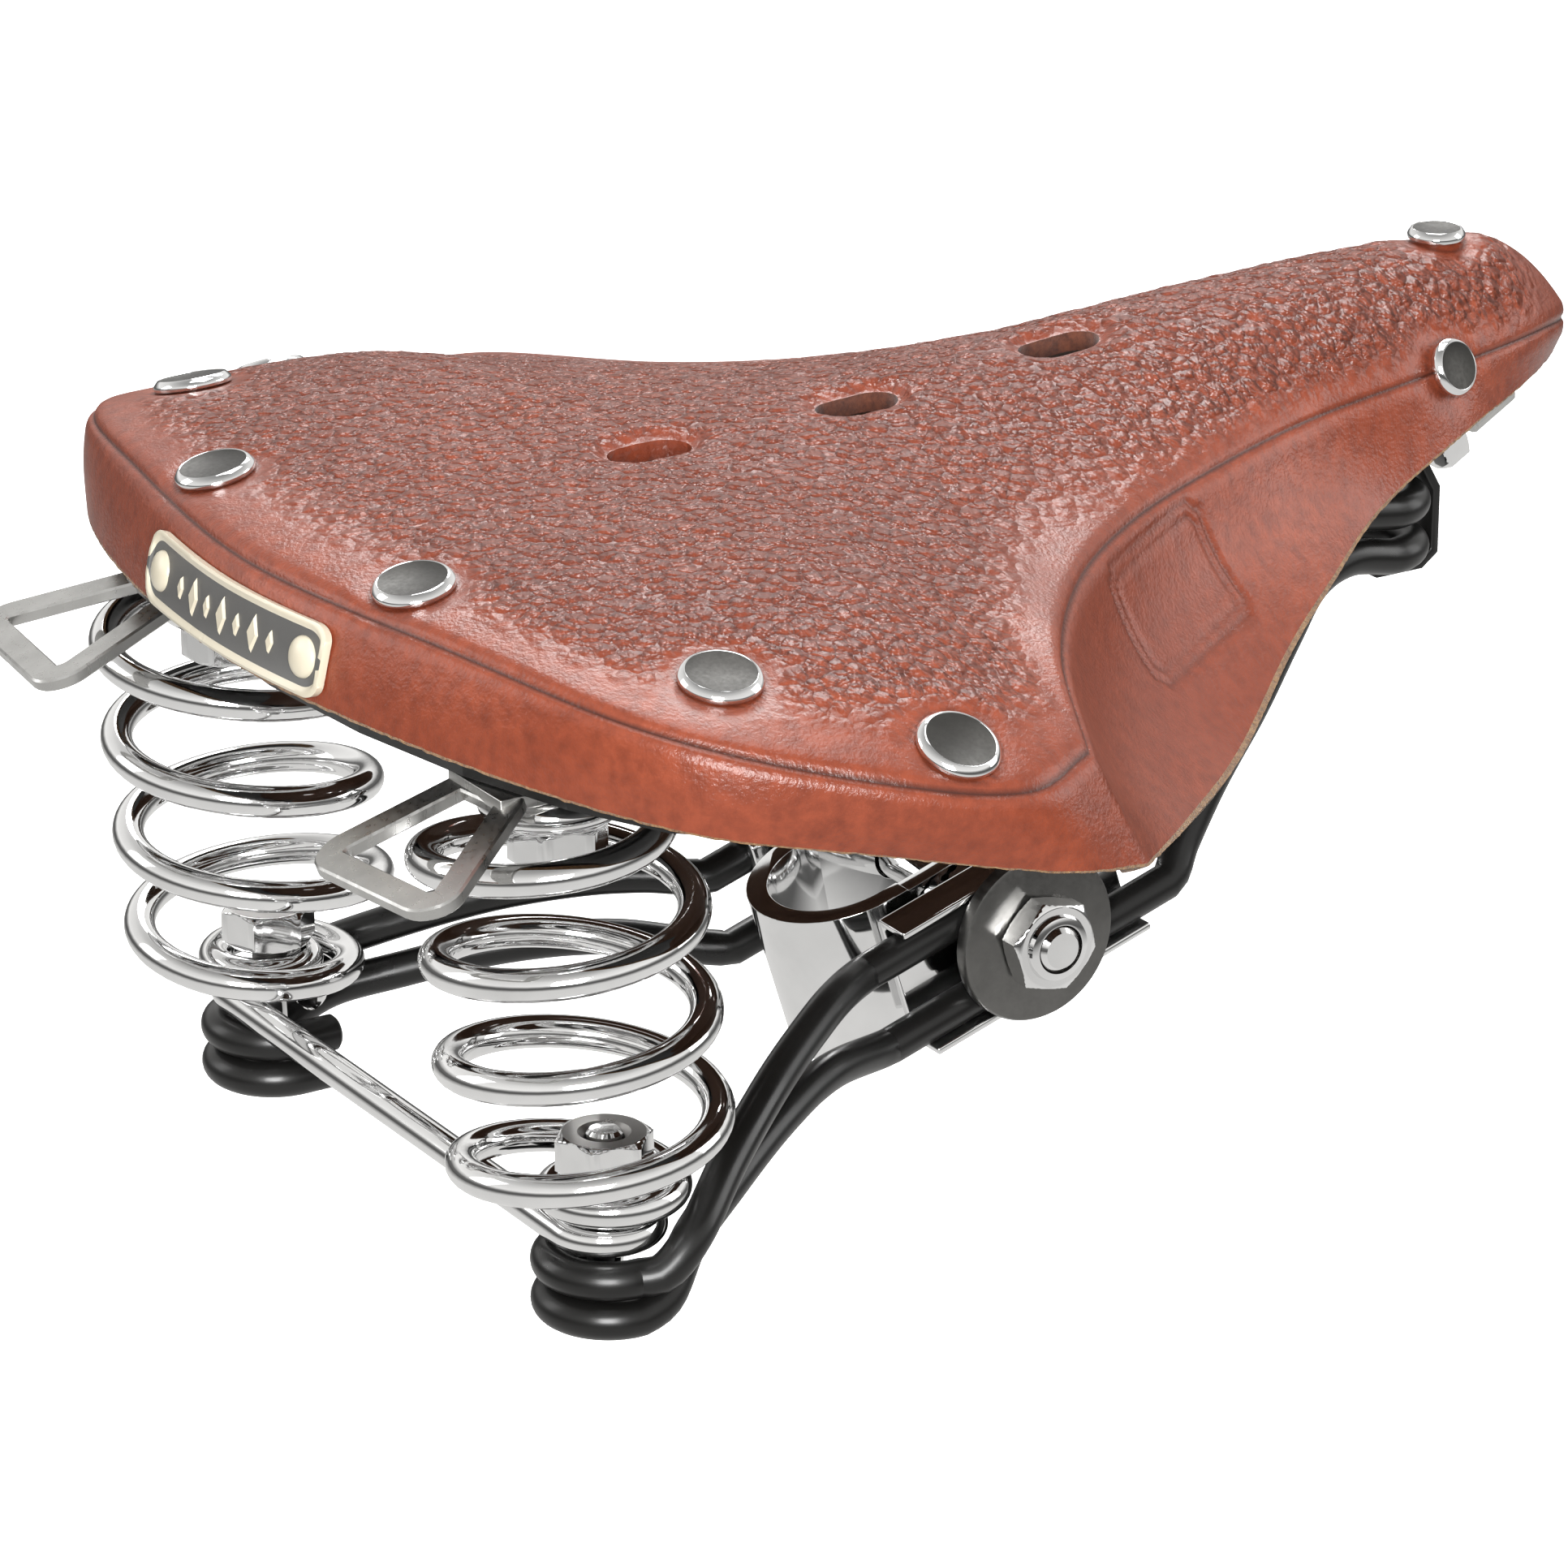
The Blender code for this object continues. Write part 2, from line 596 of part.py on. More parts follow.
def spring_points(side):
    """A flat spiral turn round each bolt, widening into even coils between the two."""
    height = SPRING_HEAD.z - SPRING_FOOT.z
    end = SPRING_START + 360 * height / SPRING_PITCH
    first, last = SPRING_START - SPRING_FLAT, end + SPRING_FLAT
    points = []
    for angle in steps_between(first, last, 1 / 24):
        inner = min(angle - first, last - angle)
        opened = ease((inner - 350) / 170)
        radius = SPRING_EYE_R + (SPRING_TURN_R - SPRING_EYE_R) * min(inner / 360, 1)
        radius += (SPRING_R - SPRING_TURN_R) * opened
        climb = (angle - SPRING_START) / 360 * SPRING_PITCH
        rise = past(climb) - past(climb - height)
        centre = SPRING_FOOT.lerp(SPRING_HEAD, rise / height) + SPRING_SHIFT * opened
        a = math.radians(angle)
        points.append(Vector((side * (centre.x + radius * math.cos(a)),
                              centre.y + radius * math.sin(a), centre.z)))
    return points


def make_spring(side, word):
    wire(f"spring_{word}", spring_points(side), SPRING_WIRE_R, "chrome")
    foot = (side * SPRING_FOOT.x, SPRING_FOOT.y, 0)
    head = (side * SPRING_HEAD.x, SPRING_HEAD.y, 0)
    r = SPRING_BOLT_R
    turned(f"spring_bolt_bottom_{word}",
           ((0, 5.0), (r - 0.6, 5.0), (r, 4.4), (r, -21.3), (6.3, -23.9), (6.0, -24.7), (0, -24.7)),
           foot, RISE, "chrome")
    for end, spot, low in (("bottom", foot, -1.2), ("top", head, 46.5)):
        hex_nut(f"spring_nut_{end}_{word}", SPRING_NUT_FLATS, SPRING_NUT_HIGH, r + GAP,
                (spot[0], spot[1], low), RISE, "chrome")
    turned(f"spring_bolt_top_{word}",
           ((0, 66.0), (4.6, 65.6), (5.6, 64.2), (5.6, 62.4), (r, 62.4), (r, 45.6), (r - 0.6, 45.0),
            (0, 45.0)),
           head, RISE, "chrome")


def make_bag_loop(side, word, cantle):
    """A flat steel strip bent to a trapezoid, on a tab held by the spring's top bolt."""
    head = Vector((side * SPRING_HEAD.x, SPRING_HEAD.y, 0))
    corners = ((43.6, -92), (40.8, -110.5), (42.5, -113), (65, -111), (66.8, -108.6), (54.4, -91))
    top, fall = 58.0, 0.36
    across = Vector((0, -fall, 1)).normalized()
    path = [Vector((side * x, y, top + (y + 92) * fall)) for x, y in corners]
    middle = sum(path, Vector()) / len(path)

    def build(bm):
        rings = []
        for k, point in enumerate(path):
            before, after = path[k - 1], path[(k + 1) % len(path)]
            one, two = (point - before).normalized(), (after - point).normalized()
            out = (one.cross(across) + two.cross(across)).normalized()
            if out.dot(point - middle) < 0:
                out.negate()
            widen = 1 / max(0.5, abs(out.dot(one.cross(across))))
            rings.append([bm.verts.new(point + out * w * widen + across * h)
                          for w, h in ((-2.2, -1), (2.2, -1), (2.2, 1), (-2.2, 1))])
        for one, two in zip(rings, rings[1:] + rings[:1]):
            for a in range(4):
                bm.faces.new((one[a], one[a - 1], two[a - 1], two[a]))
        bmesh.ops.recalc_face_normals(bm, faces=bm.faces)

    loop = add(f"bag_loop_{word}", mesh_from(f"bag_loop_{word}", build), "steel")
    tab = prism(f"bag_tab_{word}", ((-7.2, -13), (7.2, -13), (7.2, 5), (4, 8), (-4, 8), (-7.2, 5)),
                57.8, 59.8, (head.x, head.y, 0), RISE, None, SIDEWAYS)
    cut(loop, tab, "UNION")
    for piece in (loop, cantle):
        cut(piece, cylinder(f"bolt_hole_{word}_{piece.name}", SPRING_BOLT_R + GAP, 55, 64,
                            head, RISE, None))


# ---------------------------------------------------------------- clamp

def make_clamp():
    outer, inner, front = BORE_R + BAND_THICK, BORE_R, BOLT_AHEAD + EAR_R
    outline = [(outer, front)] + flat_arc((0, 0), outer, 0, -180, 20) + [(-outer, front)]
    outline += [(-inner, front)] + flat_arc((0, 0), inner, -180, 0, 20) + [(inner, front)]
    band = prism("clamp_band", outline, -BAND_HALF, BAND_HALF, (0, 0, 0), UPWARD, "chrome", SIDEWAYS)
    ear = flat_arc((BOLT_AHEAD, BOLT_ABOVE), EAR_R - 0.5, 80, -80, 12)
    side_view = ([(-20, 20), (2, 20), (3, BAND_HALF - 0.2)] + ear
                 + [(3, -BAND_HALF + 0.2), (2, -20), (-20, -20)])
    side_cut = prism("band_side", side_view, -20, 20, (0, 0, 0), SIDEWAYS, None, FORWARD)
    cut(band, side_cut, "INTERSECT")
    cut(band, cylinder("band_hole", BOLT_R + GAP, -30, 30, CLAMP_BOLT, SIDEWAYS, None))

    cylinder("clamp_bolt", BOLT_R, -34.2, 34.2, CLAMP_BOLT, SIDEWAYS, "chrome")
    for side, word in ((1, "right"), (-1, "left")):
        out = SIDEWAYS * side
        hole = BOLT_R + GAP
        turned(f"serrated_washer_{word}",
               ((hole, 17.2), (WASHER_R, 17.2), (WASHER_R, 14.9), (hole, 14.9), (hole, 17.2)),
               CLAMP_BOLT, out, "chrome", 24)
        make_cradle(side, word)
        turned(f"outer_washer_{word}",
               ((hole, 28.0), (DISC_R - 0.5, 28.0), (DISC_R, 27.5), (DISC_R, 25.6), (hole, 25.6),
                (hole, 28.0)),
               CLAMP_BOLT, out, "steel", 28)
        hex_nut(f"clamp_nut_{word}", NUT_FLATS, 5.4, hole, CLAMP_BOLT + out * 28.3, out, "chrome")


def make_cradle(side, word):
    """A pressed plate inside the rails whose lips curl over the upper and under the lower one."""
    lip_in, lip_out, face, back, reach = 9.8, 11.0, 19.4, 17.5, 25.2
    upper = [(back, 0), (back, lip_out - 2), (back + 1.6, lip_out), (reach, lip_out),
             (reach, lip_in), (face + 0.4, lip_in), (face, lip_in - 1), (face, 0)]
    lower = [(x, -n) for x, n in reversed(upper[1:-1])]
    outline = [(x * side, n) for x, n in upper + lower]
    # prism's own axes are (side, axis x side): X, and UPWARD x ... so the axis is -FORWARD
    plate = prism(f"inner_cradle_{word}", outline, -20, 20, CLAMP_BOLT, -FORWARD, "chrome", SIDEWAYS)
    cut(plate, cylinder(f"cradle_hole_{word}", BOLT_R + GAP, -30, 30, CLAMP_BOLT, SIDEWAYS, None))


# ---------------------------------------------------------------- nose hardware

def make_shackle():
    """A claw, open to the rear, that holds the front loops of both wires."""
    outer = ((93, 41.2), (102, 41.2), (105, 43.4), (105, 54.3), (100, 63), (98.4, 64), (94, 64), (93, 62.6))
    inner = ((93, 58.6), (99.9, 58.6), (101.1, 57.9), (103.5, 53.7), (103.5, 44.2), (101.4, 42.7),
             (93, 42.7))
    prism("shackle", outer + inner, -SHACKLE_HALF, SHACKLE_HALF, (0, 0, 0), SIDEWAYS, "steel", (0, 1, 0))
    turned("tension_pin", ((0, 15.0), (PIN_R - 0.6, 15.0), (PIN_R, 14.4), (PIN_R, 0.1), (0, 0.1)),
           PIN_START, PIN_AXIS, "chrome", 16)
    hex_nut("tension_nut", 11, 5.0, PIN_R + GAP, PIN_START + PIN_AXIS * 1.4, PIN_AXIS, "chrome")


# ---------------------------------------------------------------- motion

def pivot(name, point, parent, starts):
    """An empty on a joint's axis, carrying every piece whose name starts like one of starts."""
    made = bpy.data.objects.new(name, None)
    made.matrix_world = Matrix.Translation(Vector(point) * MM)
    PARTS.objects.link(made)
    if parent:
        made.parent = parent
        made.matrix_parent_inverse = parent.matrix_world.inverted()
    bpy.context.view_layer.update()
    for piece in [p for p in PARTS.objects if p.type != "EMPTY" and p.name.startswith(starts)]:
        piece.parent = made
        piece.matrix_parent_inverse = made.matrix_world.inverted()
    return made


def make_pivots():
    tilt = pivot("tilt_axis", CLAMP_BOLT, None,
                 ("clamp_bolt", "clamp_nut", "inner_cradle", "serrated_washer", "outer_washer"))
    slide = pivot("fore_aft_axis", CLAMP_BOLT, tilt,
                  ("upper_wire", "lower_wire", "cross_bar", "spring_bolt_bottom", "spring_nut_bottom",
                   "spring_left", "spring_right"))
    rock = pivot("suspension_axis", SUSPENSION_AXIS, slide,
                 ("leather", "cantle", "rear_rivet", "badge", "bag_loop", "spring_bolt_top",
                  "spring_nut_top", "shackle"))
    pivot("tension_axis", PIN_START, rock, ("nose", "tension_pin"))
    pivot("tension_turn_axis", PIN_START, rock, ("tension_nut",))


# ---------------------------------------------------------------- build

clear_scene()
PARTS = collection("bicycle_saddle")
CUTTERS = collection("cutters")

leather_top = make_leather()
cantle_plate = make_cantle()
nose_piece = make_nose_piece()
make_rivets(leather_top, cantle_plate, nose_piece)
make_badge(leather_top, cantle_plate)
make_wires()
for way, side_name in ((1, "right"), (-1, "left")):
    make_spring(way, side_name)
    make_bag_loop(way, side_name, cantle_plate)
make_clamp()
make_shackle()
make_pivots()
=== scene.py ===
"""Looks of the sprung leather bicycle saddle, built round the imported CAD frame.

Dimensions are in millimetres and MM turns them into metres, in the CAD's own frame: +Y points to
the nose, +X to the rider's right, +Z up, and the origin is the centre of the seat-post bore.
"""
import math

import bmesh
import bpy
import numpy as np
from mathutils import Matrix, Vector, kdtree, noise


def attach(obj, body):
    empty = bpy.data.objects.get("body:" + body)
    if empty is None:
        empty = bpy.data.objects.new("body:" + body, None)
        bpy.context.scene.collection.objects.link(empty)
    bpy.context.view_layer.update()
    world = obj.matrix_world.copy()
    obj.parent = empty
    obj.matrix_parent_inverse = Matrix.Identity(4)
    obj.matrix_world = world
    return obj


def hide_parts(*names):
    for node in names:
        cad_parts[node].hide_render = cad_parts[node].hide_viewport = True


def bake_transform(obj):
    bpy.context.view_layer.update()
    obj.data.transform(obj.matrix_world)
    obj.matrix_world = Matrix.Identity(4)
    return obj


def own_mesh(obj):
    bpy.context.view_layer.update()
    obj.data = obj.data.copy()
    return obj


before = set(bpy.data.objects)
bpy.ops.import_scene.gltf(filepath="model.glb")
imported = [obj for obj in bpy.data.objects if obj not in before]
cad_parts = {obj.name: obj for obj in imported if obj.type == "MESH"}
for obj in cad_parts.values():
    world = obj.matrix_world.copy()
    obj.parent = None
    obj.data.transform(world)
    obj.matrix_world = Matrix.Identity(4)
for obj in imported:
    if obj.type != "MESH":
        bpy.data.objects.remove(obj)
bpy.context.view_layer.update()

MM = 0.001
GAP = 0.3                       # between pieces that touch on the real saddle

# seat-post clamp
RAIL_TILT = math.radians(17.7)  # the rails rise towards the nose, square to the bore
BORE_R = 11.25
BAND_THICK = 3.3
BAND_HALF = 13.0
EAR_R = 10.5
BOLT_AHEAD, BOLT_ABOVE = 15.0, 2.6
BOLT_R = 3.5
NUT_FLATS = 13.0
DISC_R = 13.3
WASHER_R = 10.5
WASHER_IN, WASHER_OUT = 15.1, 17.0      # where each piece starts and ends along the cross bolt
DISC_IN, DISC_OUT = 25.6, 28.0
NUT_SEAT = 28.3
NUT_HIGH, NUT_COLLAR = 4.4, 1.0
BOLT_END = 34.2
CRADLE_LIP_IN, CRADLE_LIP_OUT = 9.8, 11.0
CRADLE_FACE, CRADLE_BACK, CRADLE_REACH = 19.4, 17.5, 25.2
CRADLE_BEND = 1.6
CRADLE_HALF = 20.0

# frame wires
WIRE_R = 2.8
RAIL_X = 22.5
RAIL_HALF_PITCH = 6.7
RAIL_HALF = 26.0
EYE_R = 8.4
EYE_Z_UPPER, EYE_Z_LOWER = -14.8, -20.8
NOSE_LOOP_R = 7.5
NOSE_LOOP_Y = 92.3
NOSE_LOOP_Z_UPPER, NOSE_LOOP_Z_LOWER = 53.7, 46.4
BAR_R = 2.4
BAR_Z = -9.3
BAR_HOOK_R = 6.5

# springs
SPRING_R = 18.4
SPRING_WIRE_R = 2.4
SPRING_EYE_R = 5.3
SPRING_TURN_R = 10.2
SPRING_PITCH = 15.6
SPRING_START = -214.0
SPRING_FLAT = 426.0
SPRING_FOOT = Vector((50.0, -74.6, -4.0))
SPRING_HEAD = Vector((48.4, -80.6, 55.1))
SPRING_SHIFT = Vector((-0.8, -0.9, 0))
SPRING_BOLT_R = 2.6
SPRING_NUT_FLATS, SPRING_NUT_HIGH = 12.5, 5.8
SPRING_NUT_BOTTOM, SPRING_NUT_TOP = -1.2, 46.5
FOOT_BOLT_HIGH, FOOT_BOLT_LOW = 5.0, -24.7
HEAD_BOLT_HIGH, HEAD_BOLT_SEAT, HEAD_BOLT_LOW = 66.0, 62.4, 45.0

# leather
LEATHER_THICK = 4.4
RIVET_R, NOSE_RIVET_R = 6.0, 4.5
SLOT_LONG, SLOT_WIDE = 13.0, 8.0
SLOT_YS = (-36.6, -1.2, 34.5)
REAR_RIVETS = ((29.3, -91.8), (76.1, -71.2), (97, -47))
NOSE_TOP_RIVET = (0, 104.5)
NOSE_SIDE_RIVET = 11.18
BADGE_RIVET_X = 21.0
BADGE_HALF = 25.6
BADGE_MIDDLE, BADGE_REACH = 1.58, 0.35
SHIELD_PLACE, SHIELD_V = 7.8, 1.40  # the embossed outline's centre on the flank

# nose
PIN_START = Vector((0, 101.7, 60.45))
PIN_TILT = math.radians(30)
PIN_R = 2.6
PIN_LOW, PIN_THREAD_END, PIN_HIGH = 0.1, 9.0, 15.0
PIN_NUT_FLATS, PIN_NUT_HIGH, PIN_NUT_SEAT = 11.0, 5.0, 1.4
SHACKLE_HALF = 2.8

FORWARD = Vector((0, math.cos(RAIL_TILT), math.sin(RAIL_TILT)))
UPWARD = Vector((0, -math.sin(RAIL_TILT), math.cos(RAIL_TILT)))
SIDEWAYS = Vector((1, 0, 0))
RISE = Vector((0, 0, 1))
CLAMP_BOLT = FORWARD * BOLT_AHEAD + UPWARD * BOLT_ABOVE
PIN_AXIS = Vector((0, math.cos(PIN_TILT), math.sin(PIN_TILT)))

# the leather's outline, as in the CAD: crease, lower edge, centre y, exponent, hollow
OUTLINE = (
    ((0, -103, 80),          (0, -106, 65.5),       -60,      4.0,      -0.6),
    ((49, -96, 79.8),        (49, -99.8, 65.4),     -58,      3.8,      -0.6),
    ((81.8, -85.8, 77),      (84.8, -83.8, 63),     -54,      3.4,      -0.8),
    ((98.2, -64.5, 71.2),    (97.2, -60.5, 58.8),   -49,      4.0,      -0.8),
    ((105, -42, 66.6),       (105.4, -36, 54),      -43,      3.8,      -0.4),
    ((99.3, -27.1, 67.8),    (102.3, -19.5, 50.4),  -37,      2.8,      0.0),
    ((81.2, -19, 74.4),      (87.3, -1.4, 48.6),    -31,      2.1,      3.0),
    ((59.4, -1.4, 75.7),     (68.6, 20.4, 47.8),    -14,      1.8,      4.0),
    ((44.6, 17.8, 76.7),     (50.7, 41.9, 53.9),    8,        1.8,      3.0),
    ((33.5, 40.5, 77.6),     (39.6, 57, 57.9),      30,       1.9,      1.5),
    ((25.7, 62.7, 78.6),     (28.7, 74, 63.4),      54,       2.4,      0.6),
    ((21, 88, 80),           (22, 94, 69.8),        82,       2.4,      0.0),
    ((12, 117, 80),          (10, 117.5, 73),       101,      2.4,      0.0),
    ((0, 130, 78),           (0, 127, 73.5),        104.5,    2.4,      0.0),
)
CORNER = 5
LAST = len(OUTLINE) - 1
CENTRE_LINE = ((-60, 84.5), (-36.6, 85.3), (-1.2, 86.4), (34.5, 89.8), (60, 92), (104.5, 94.3))


# ---------------------------------------------------------------- materials

def set_inputs(made, values):
    for key, value in values.items():
        made.inputs[key].default_value = value


def shader(name, colour, roughness, metallic=0.0):
    made = bpy.data.materials.new(name)
    made.use_nodes = True
    tree = made.node_tree
    principled = tree.nodes["Principled BSDF"]
    set_inputs(principled, {"Base Color": (*colour, 1), "Roughness": roughness, "Metallic": metallic})
    return made, tree, principled


def node(tree, kind, **settings):
    made = tree.nodes.new(kind)
    for key, value in settings.items():
        setattr(made, key, value)
    return made


def place_in(tree, stretch=(1, 1, 1)):
    """Object coordinates in metres, stretched."""
    where = node(tree, "ShaderNodeTexCoord")
    mapping = node(tree, "ShaderNodeMapping")
    mapping.inputs["Scale"].default_value = stretch
    tree.links.new(where.outputs["Object"], mapping.inputs["Vector"])
    return mapping.outputs["Vector"]


def noise_in(tree, vector, scale, detail=3.0, rough=0.55):
    made = node(tree, "ShaderNodeTexNoise")
    set_inputs(made, {"Scale": scale, "Detail": detail, "Roughness": rough})
    tree.links.new(vector, made.inputs["Vector"])
    return made.outputs["Fac"]


def spread(tree, value, low, high, out_low=0.0, out_high=1.0):
    made = node(tree, "ShaderNodeMapRange")
    tree.links.new(value, made.inputs["Value"])
    set_inputs(made, {"From Min": low, "From Max": high, "To Min": out_low, "To Max": out_high})
    return made.outputs["Result"]


def sum_of(tree, one, two, operation="ADD"):
    made = node(tree, "ShaderNodeMath", operation=operation)
    for socket, value in zip(made.inputs, (one, two)):
        if isinstance(value, (int, float)):
            socket.default_value = value
        else:
            tree.links.new(value, socket)
    return made.outputs["Value"]


def mixed(tree, share, one, two):
    made = node(tree, "ShaderNodeMix", data_type="RGBA")
    tree.links.new(share, made.inputs["Factor"])
    for index, value in ((6, one), (7, two)):
        if isinstance(value, tuple):
            made.inputs[index].default_value = (*value, 1)
        else:
            tree.links.new(value, made.inputs[index])
    return made.outputs[2]


def bumped(tree, principled, height, strength, distance):
    made = node(tree, "ShaderNodeBump")
    set_inputs(made, {"Strength": strength, "Distance": distance})
    tree.links.new(height, made.inputs["Height"])
    tree.links.new(made.outputs["Normal"], principled.inputs["Normal"])


def leather_material():
    """Pebbled grain where the grain attribute is 1, a fine even grain where it is 0."""
    made, tree, principled = shader("grained_leather", (0.3, 0.08, 0.04), 0.4)
    vector = place_in(tree)
    warp = node(tree, "ShaderNodeTexNoise")
    set_inputs(warp, {"Scale": 130, "Detail": 3})
    tree.links.new(vector, warp.inputs["Vector"])
    push = node(tree, "ShaderNodeVectorMath", operation="SCALE")
    push.inputs["Scale"].default_value = 0.0026
    tree.links.new(warp.outputs["Color"], push.inputs[0])
    bent = node(tree, "ShaderNodeVectorMath", operation="ADD")
    tree.links.new(vector, bent.inputs[0])
    tree.links.new(push.outputs[0], bent.inputs[1])

    def cells(feature, scale, low, high):
        found = node(tree, "ShaderNodeTexVoronoi", feature=feature)
        found.inputs["Scale"].default_value = scale
        tree.links.new(bent.outputs[0], found.inputs["Vector"])
        return spread(tree, found.outputs["Distance"], low, high)

    grain = node(tree, "ShaderNodeAttribute", attribute_name="grain").outputs["Fac"]
    large = cells("F1", 380, 0.75, 0.0)
    pebbles = sum_of(tree, large, sum_of(tree, cells("F1", 850, 0.75, 0.0), 0.35, "MULTIPLY"))
    crack_shade_mask = cells("DISTANCE_TO_EDGE", 380, 0.16, 0.0)
    fine = noise_in(tree, vector, 1500, 3)
    height = sum_of(tree, sum_of(tree, pebbles, grain, "MULTIPLY"),
                    sum_of(tree, fine, 0.08, "MULTIPLY"))
    bumped(tree, principled, height, 1.0, 0.0017)

    cloud = spread(tree, noise_in(tree, vector, 22, 5), 0.3, 0.7)
    base = mixed(tree, cloud, (0.215, 0.044, 0.020), (0.30, 0.066, 0.030))
    flecks = spread(tree, noise_in(tree, vector, 420, 4), 0.35, 0.75)
    base = mixed(tree, flecks, base, (0.165, 0.034, 0.016))
    # painted shade: the gaps between the pebbles are darkened, standing in for the shade that falls in them
    painted_crack_shade = sum_of(tree, sum_of(tree, crack_shade_mask, grain, "MULTIPLY"), 0.8, "MULTIPLY")
    base = mixed(tree, painted_crack_shade, base, (0.10, 0.022, 0.012))
    line = node(tree, "ShaderNodeAttribute", attribute_name="line").outputs["Fac"]
    base = mixed(tree, line, base, (0.05, 0.013, 0.008))
    tree.links.new(base, principled.inputs["Base Color"])
    tree.links.new(spread(tree, noise_in(tree, vector, 60, 4), 0.3, 0.7, 0.26, 0.38),
                   principled.inputs["Roughness"])
    principled.inputs["Specular IOR Level"].default_value = 0.4
    return made


def raw_material(name, light, dark, scale, deep):
    """A cut edge or the underside of leather, with loose fibres; also used with darkened colours as painted
    shade.
    """
    made, tree, principled = shader(name, light, 0.95)
    vector = place_in(tree)
    fibres = noise_in(tree, vector, scale, 8, 0.7)
    colour = mixed(tree, spread(tree, fibres, 0.35, 0.65), dark, light)
    tree.links.new(colour, principled.inputs["Base Color"])
    bumped(tree, principled, fibres, 0.9, deep)
    principled.inputs["Sheen Weight"].default_value = 0.25
    return made


def metal_material(name, colour, smooth, rough, scale=180, stretch=(1, 1, 1), deep=0.00002, strength=0.15):
    """Plated or bare metal, with a roughness that wanders between smooth and rough."""
    made, tree, principled = shader(name, colour, rough, 1.0)
    vector = place_in(tree, stretch)
    wear = noise_in(tree, vector, scale, 6, 0.6)
    tree.links.new(spread(tree, wear, 0.3, 0.75, smooth, rough), principled.inputs["Roughness"])
    darker = tuple(c * 0.82 for c in colour)
    stain = spread(tree, noise_in(tree, vector, scale * 0.25, 4), 0.35, 0.75)
    tree.links.new(mixed(tree, stain, colour, darker), principled.inputs["Base Color"])
    bumped(tree, principled, wear, strength, deep)
    return made


def enamel_material(name, colour, rough, coat=0.3):
    made, tree, principled = shader(name, colour, rough)
    vector = place_in(tree)
    peel = noise_in(tree, vector, 650, 2)
    tree.links.new(spread(tree, noise_in(tree, vector, 90, 5), 0.3, 0.7, rough * 0.85, rough * 1.35),
                   principled.inputs["Roughness"])
    lighter = tuple(min(1, c * 1.25 + 0.004) for c in colour)
    tree.links.new(mixed(tree, spread(tree, noise_in(tree, vector, 40, 4), 0.4, 0.8), colour, lighter),
                   principled.inputs["Base Color"])
    bumped(tree, principled, peel, 0.12, 0.00004)
    set_inputs(principled, {"Specular IOR Level": 0.35, "Coat Weight": coat, "Coat Roughness": 0.18})
    return made


LOOKS = {
    "leather": leather_material(),
    "raw_edge": raw_material("raw_leather_edge", (0.36, 0.20, 0.08), (0.11, 0.045, 0.018), 1400, 0.0005),
    # painted shade: the vents' cut walls are a darker copy of the raw edge, standing in for the shade
    # inside the slots
    "shaded_slot_wall": raw_material("punched_slot_wall_in_painted_shade", (0.15, 0.045, 0.022), (0.06, 0.018, 0.010), 900, 0.0002),
    # painted shade: the underside's colour is darkened for the shade under the saddle, which the chrome
    # parts reflect
    "shaded_flesh": raw_material("leather_flesh_side_in_painted_shade", (0.15, 0.075, 0.042), (0.09, 0.042, 0.024), 700, 0.0003),
    "chrome": metal_material("chrome_plate", (0.86, 0.86, 0.86), 0.035, 0.11),
    "steel": metal_material("brushed_steel", (0.52, 0.515, 0.50), 0.24, 0.40, 900, (1, 1, 0.06)),
    "disc": metal_material("turned_steel", (0.17, 0.167, 0.16), 0.28, 0.42, 1300, (0.05, 1, 1)),
    "rivet_face": metal_material("rivet_steel", (0.062, 0.060, 0.056), 0.42, 0.58, 1600, deep=0.00004),
    "thread": metal_material("thread_steel", (0.34, 0.33, 0.32), 0.25, 0.45),
    "enamel": enamel_material("black_enamel", (0.005, 0.0048, 0.0045), 0.3, 0.1),
    "field": enamel_material("badge_field", (0.10, 0.098, 0.094), 0.38, 0.1),
    "cream": enamel_material("badge_cream", (0.64, 0.58, 0.45), 0.3, 0.4),
}


# ---------------------------------------------------------------- making pieces

def piece(name, bm, looks, angle=35):
    """A mesh object in millimetres from bm, shaded smooth up to an angle."""
    mesh = bpy.data.meshes.new(name)
    bmesh.ops.scale(bm, vec=(MM, MM, MM), verts=bm.verts)
    bm.to_mesh(mesh)
    bm.free()
    for look in looks:
        mesh.materials.append(LOOKS[look])
    mesh.shade_smooth()
    mesh.set_sharp_from_angle(angle=math.radians(angle))
    made = bpy.data.objects.new(name, mesh)
    bpy.context.scene.collection.objects.link(made)
    return made


def settle(made):
    """Applies a piece's modifiers and transform, so that its mesh is final and in place."""
    bpy.context.view_layer.update()
    evaluated = made.evaluated_get(bpy.context.evaluated_depsgraph_get())
    mesh = bpy.data.meshes.new_from_object(evaluated)
    mesh.transform(made.matrix_world)
    made.modifiers.clear()
    made.data = mesh
    made.matrix_world = Matrix.Identity(4)
    mesh.shade_smooth()
    mesh.set_sharp_from_angle(angle=math.radians(35))
    return made


def frame_at(point, axis, side=None):
    """A matrix in metres that takes +Z to axis and the origin to point."""
    z = Vector(axis).normalized()
    x = Vector(side) if side else z.orthogonal()
    x = (x - z * x.dot(z)).normalized()
    turn = Matrix((x, z.cross(x), z)).transposed().to_4x4()
    return Matrix.Translation(Vector(point) * MM) @ turn


def belongs(made, body, slot, *nodes):
    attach(made, body)
    if nodes:
        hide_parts(*nodes)
    return made


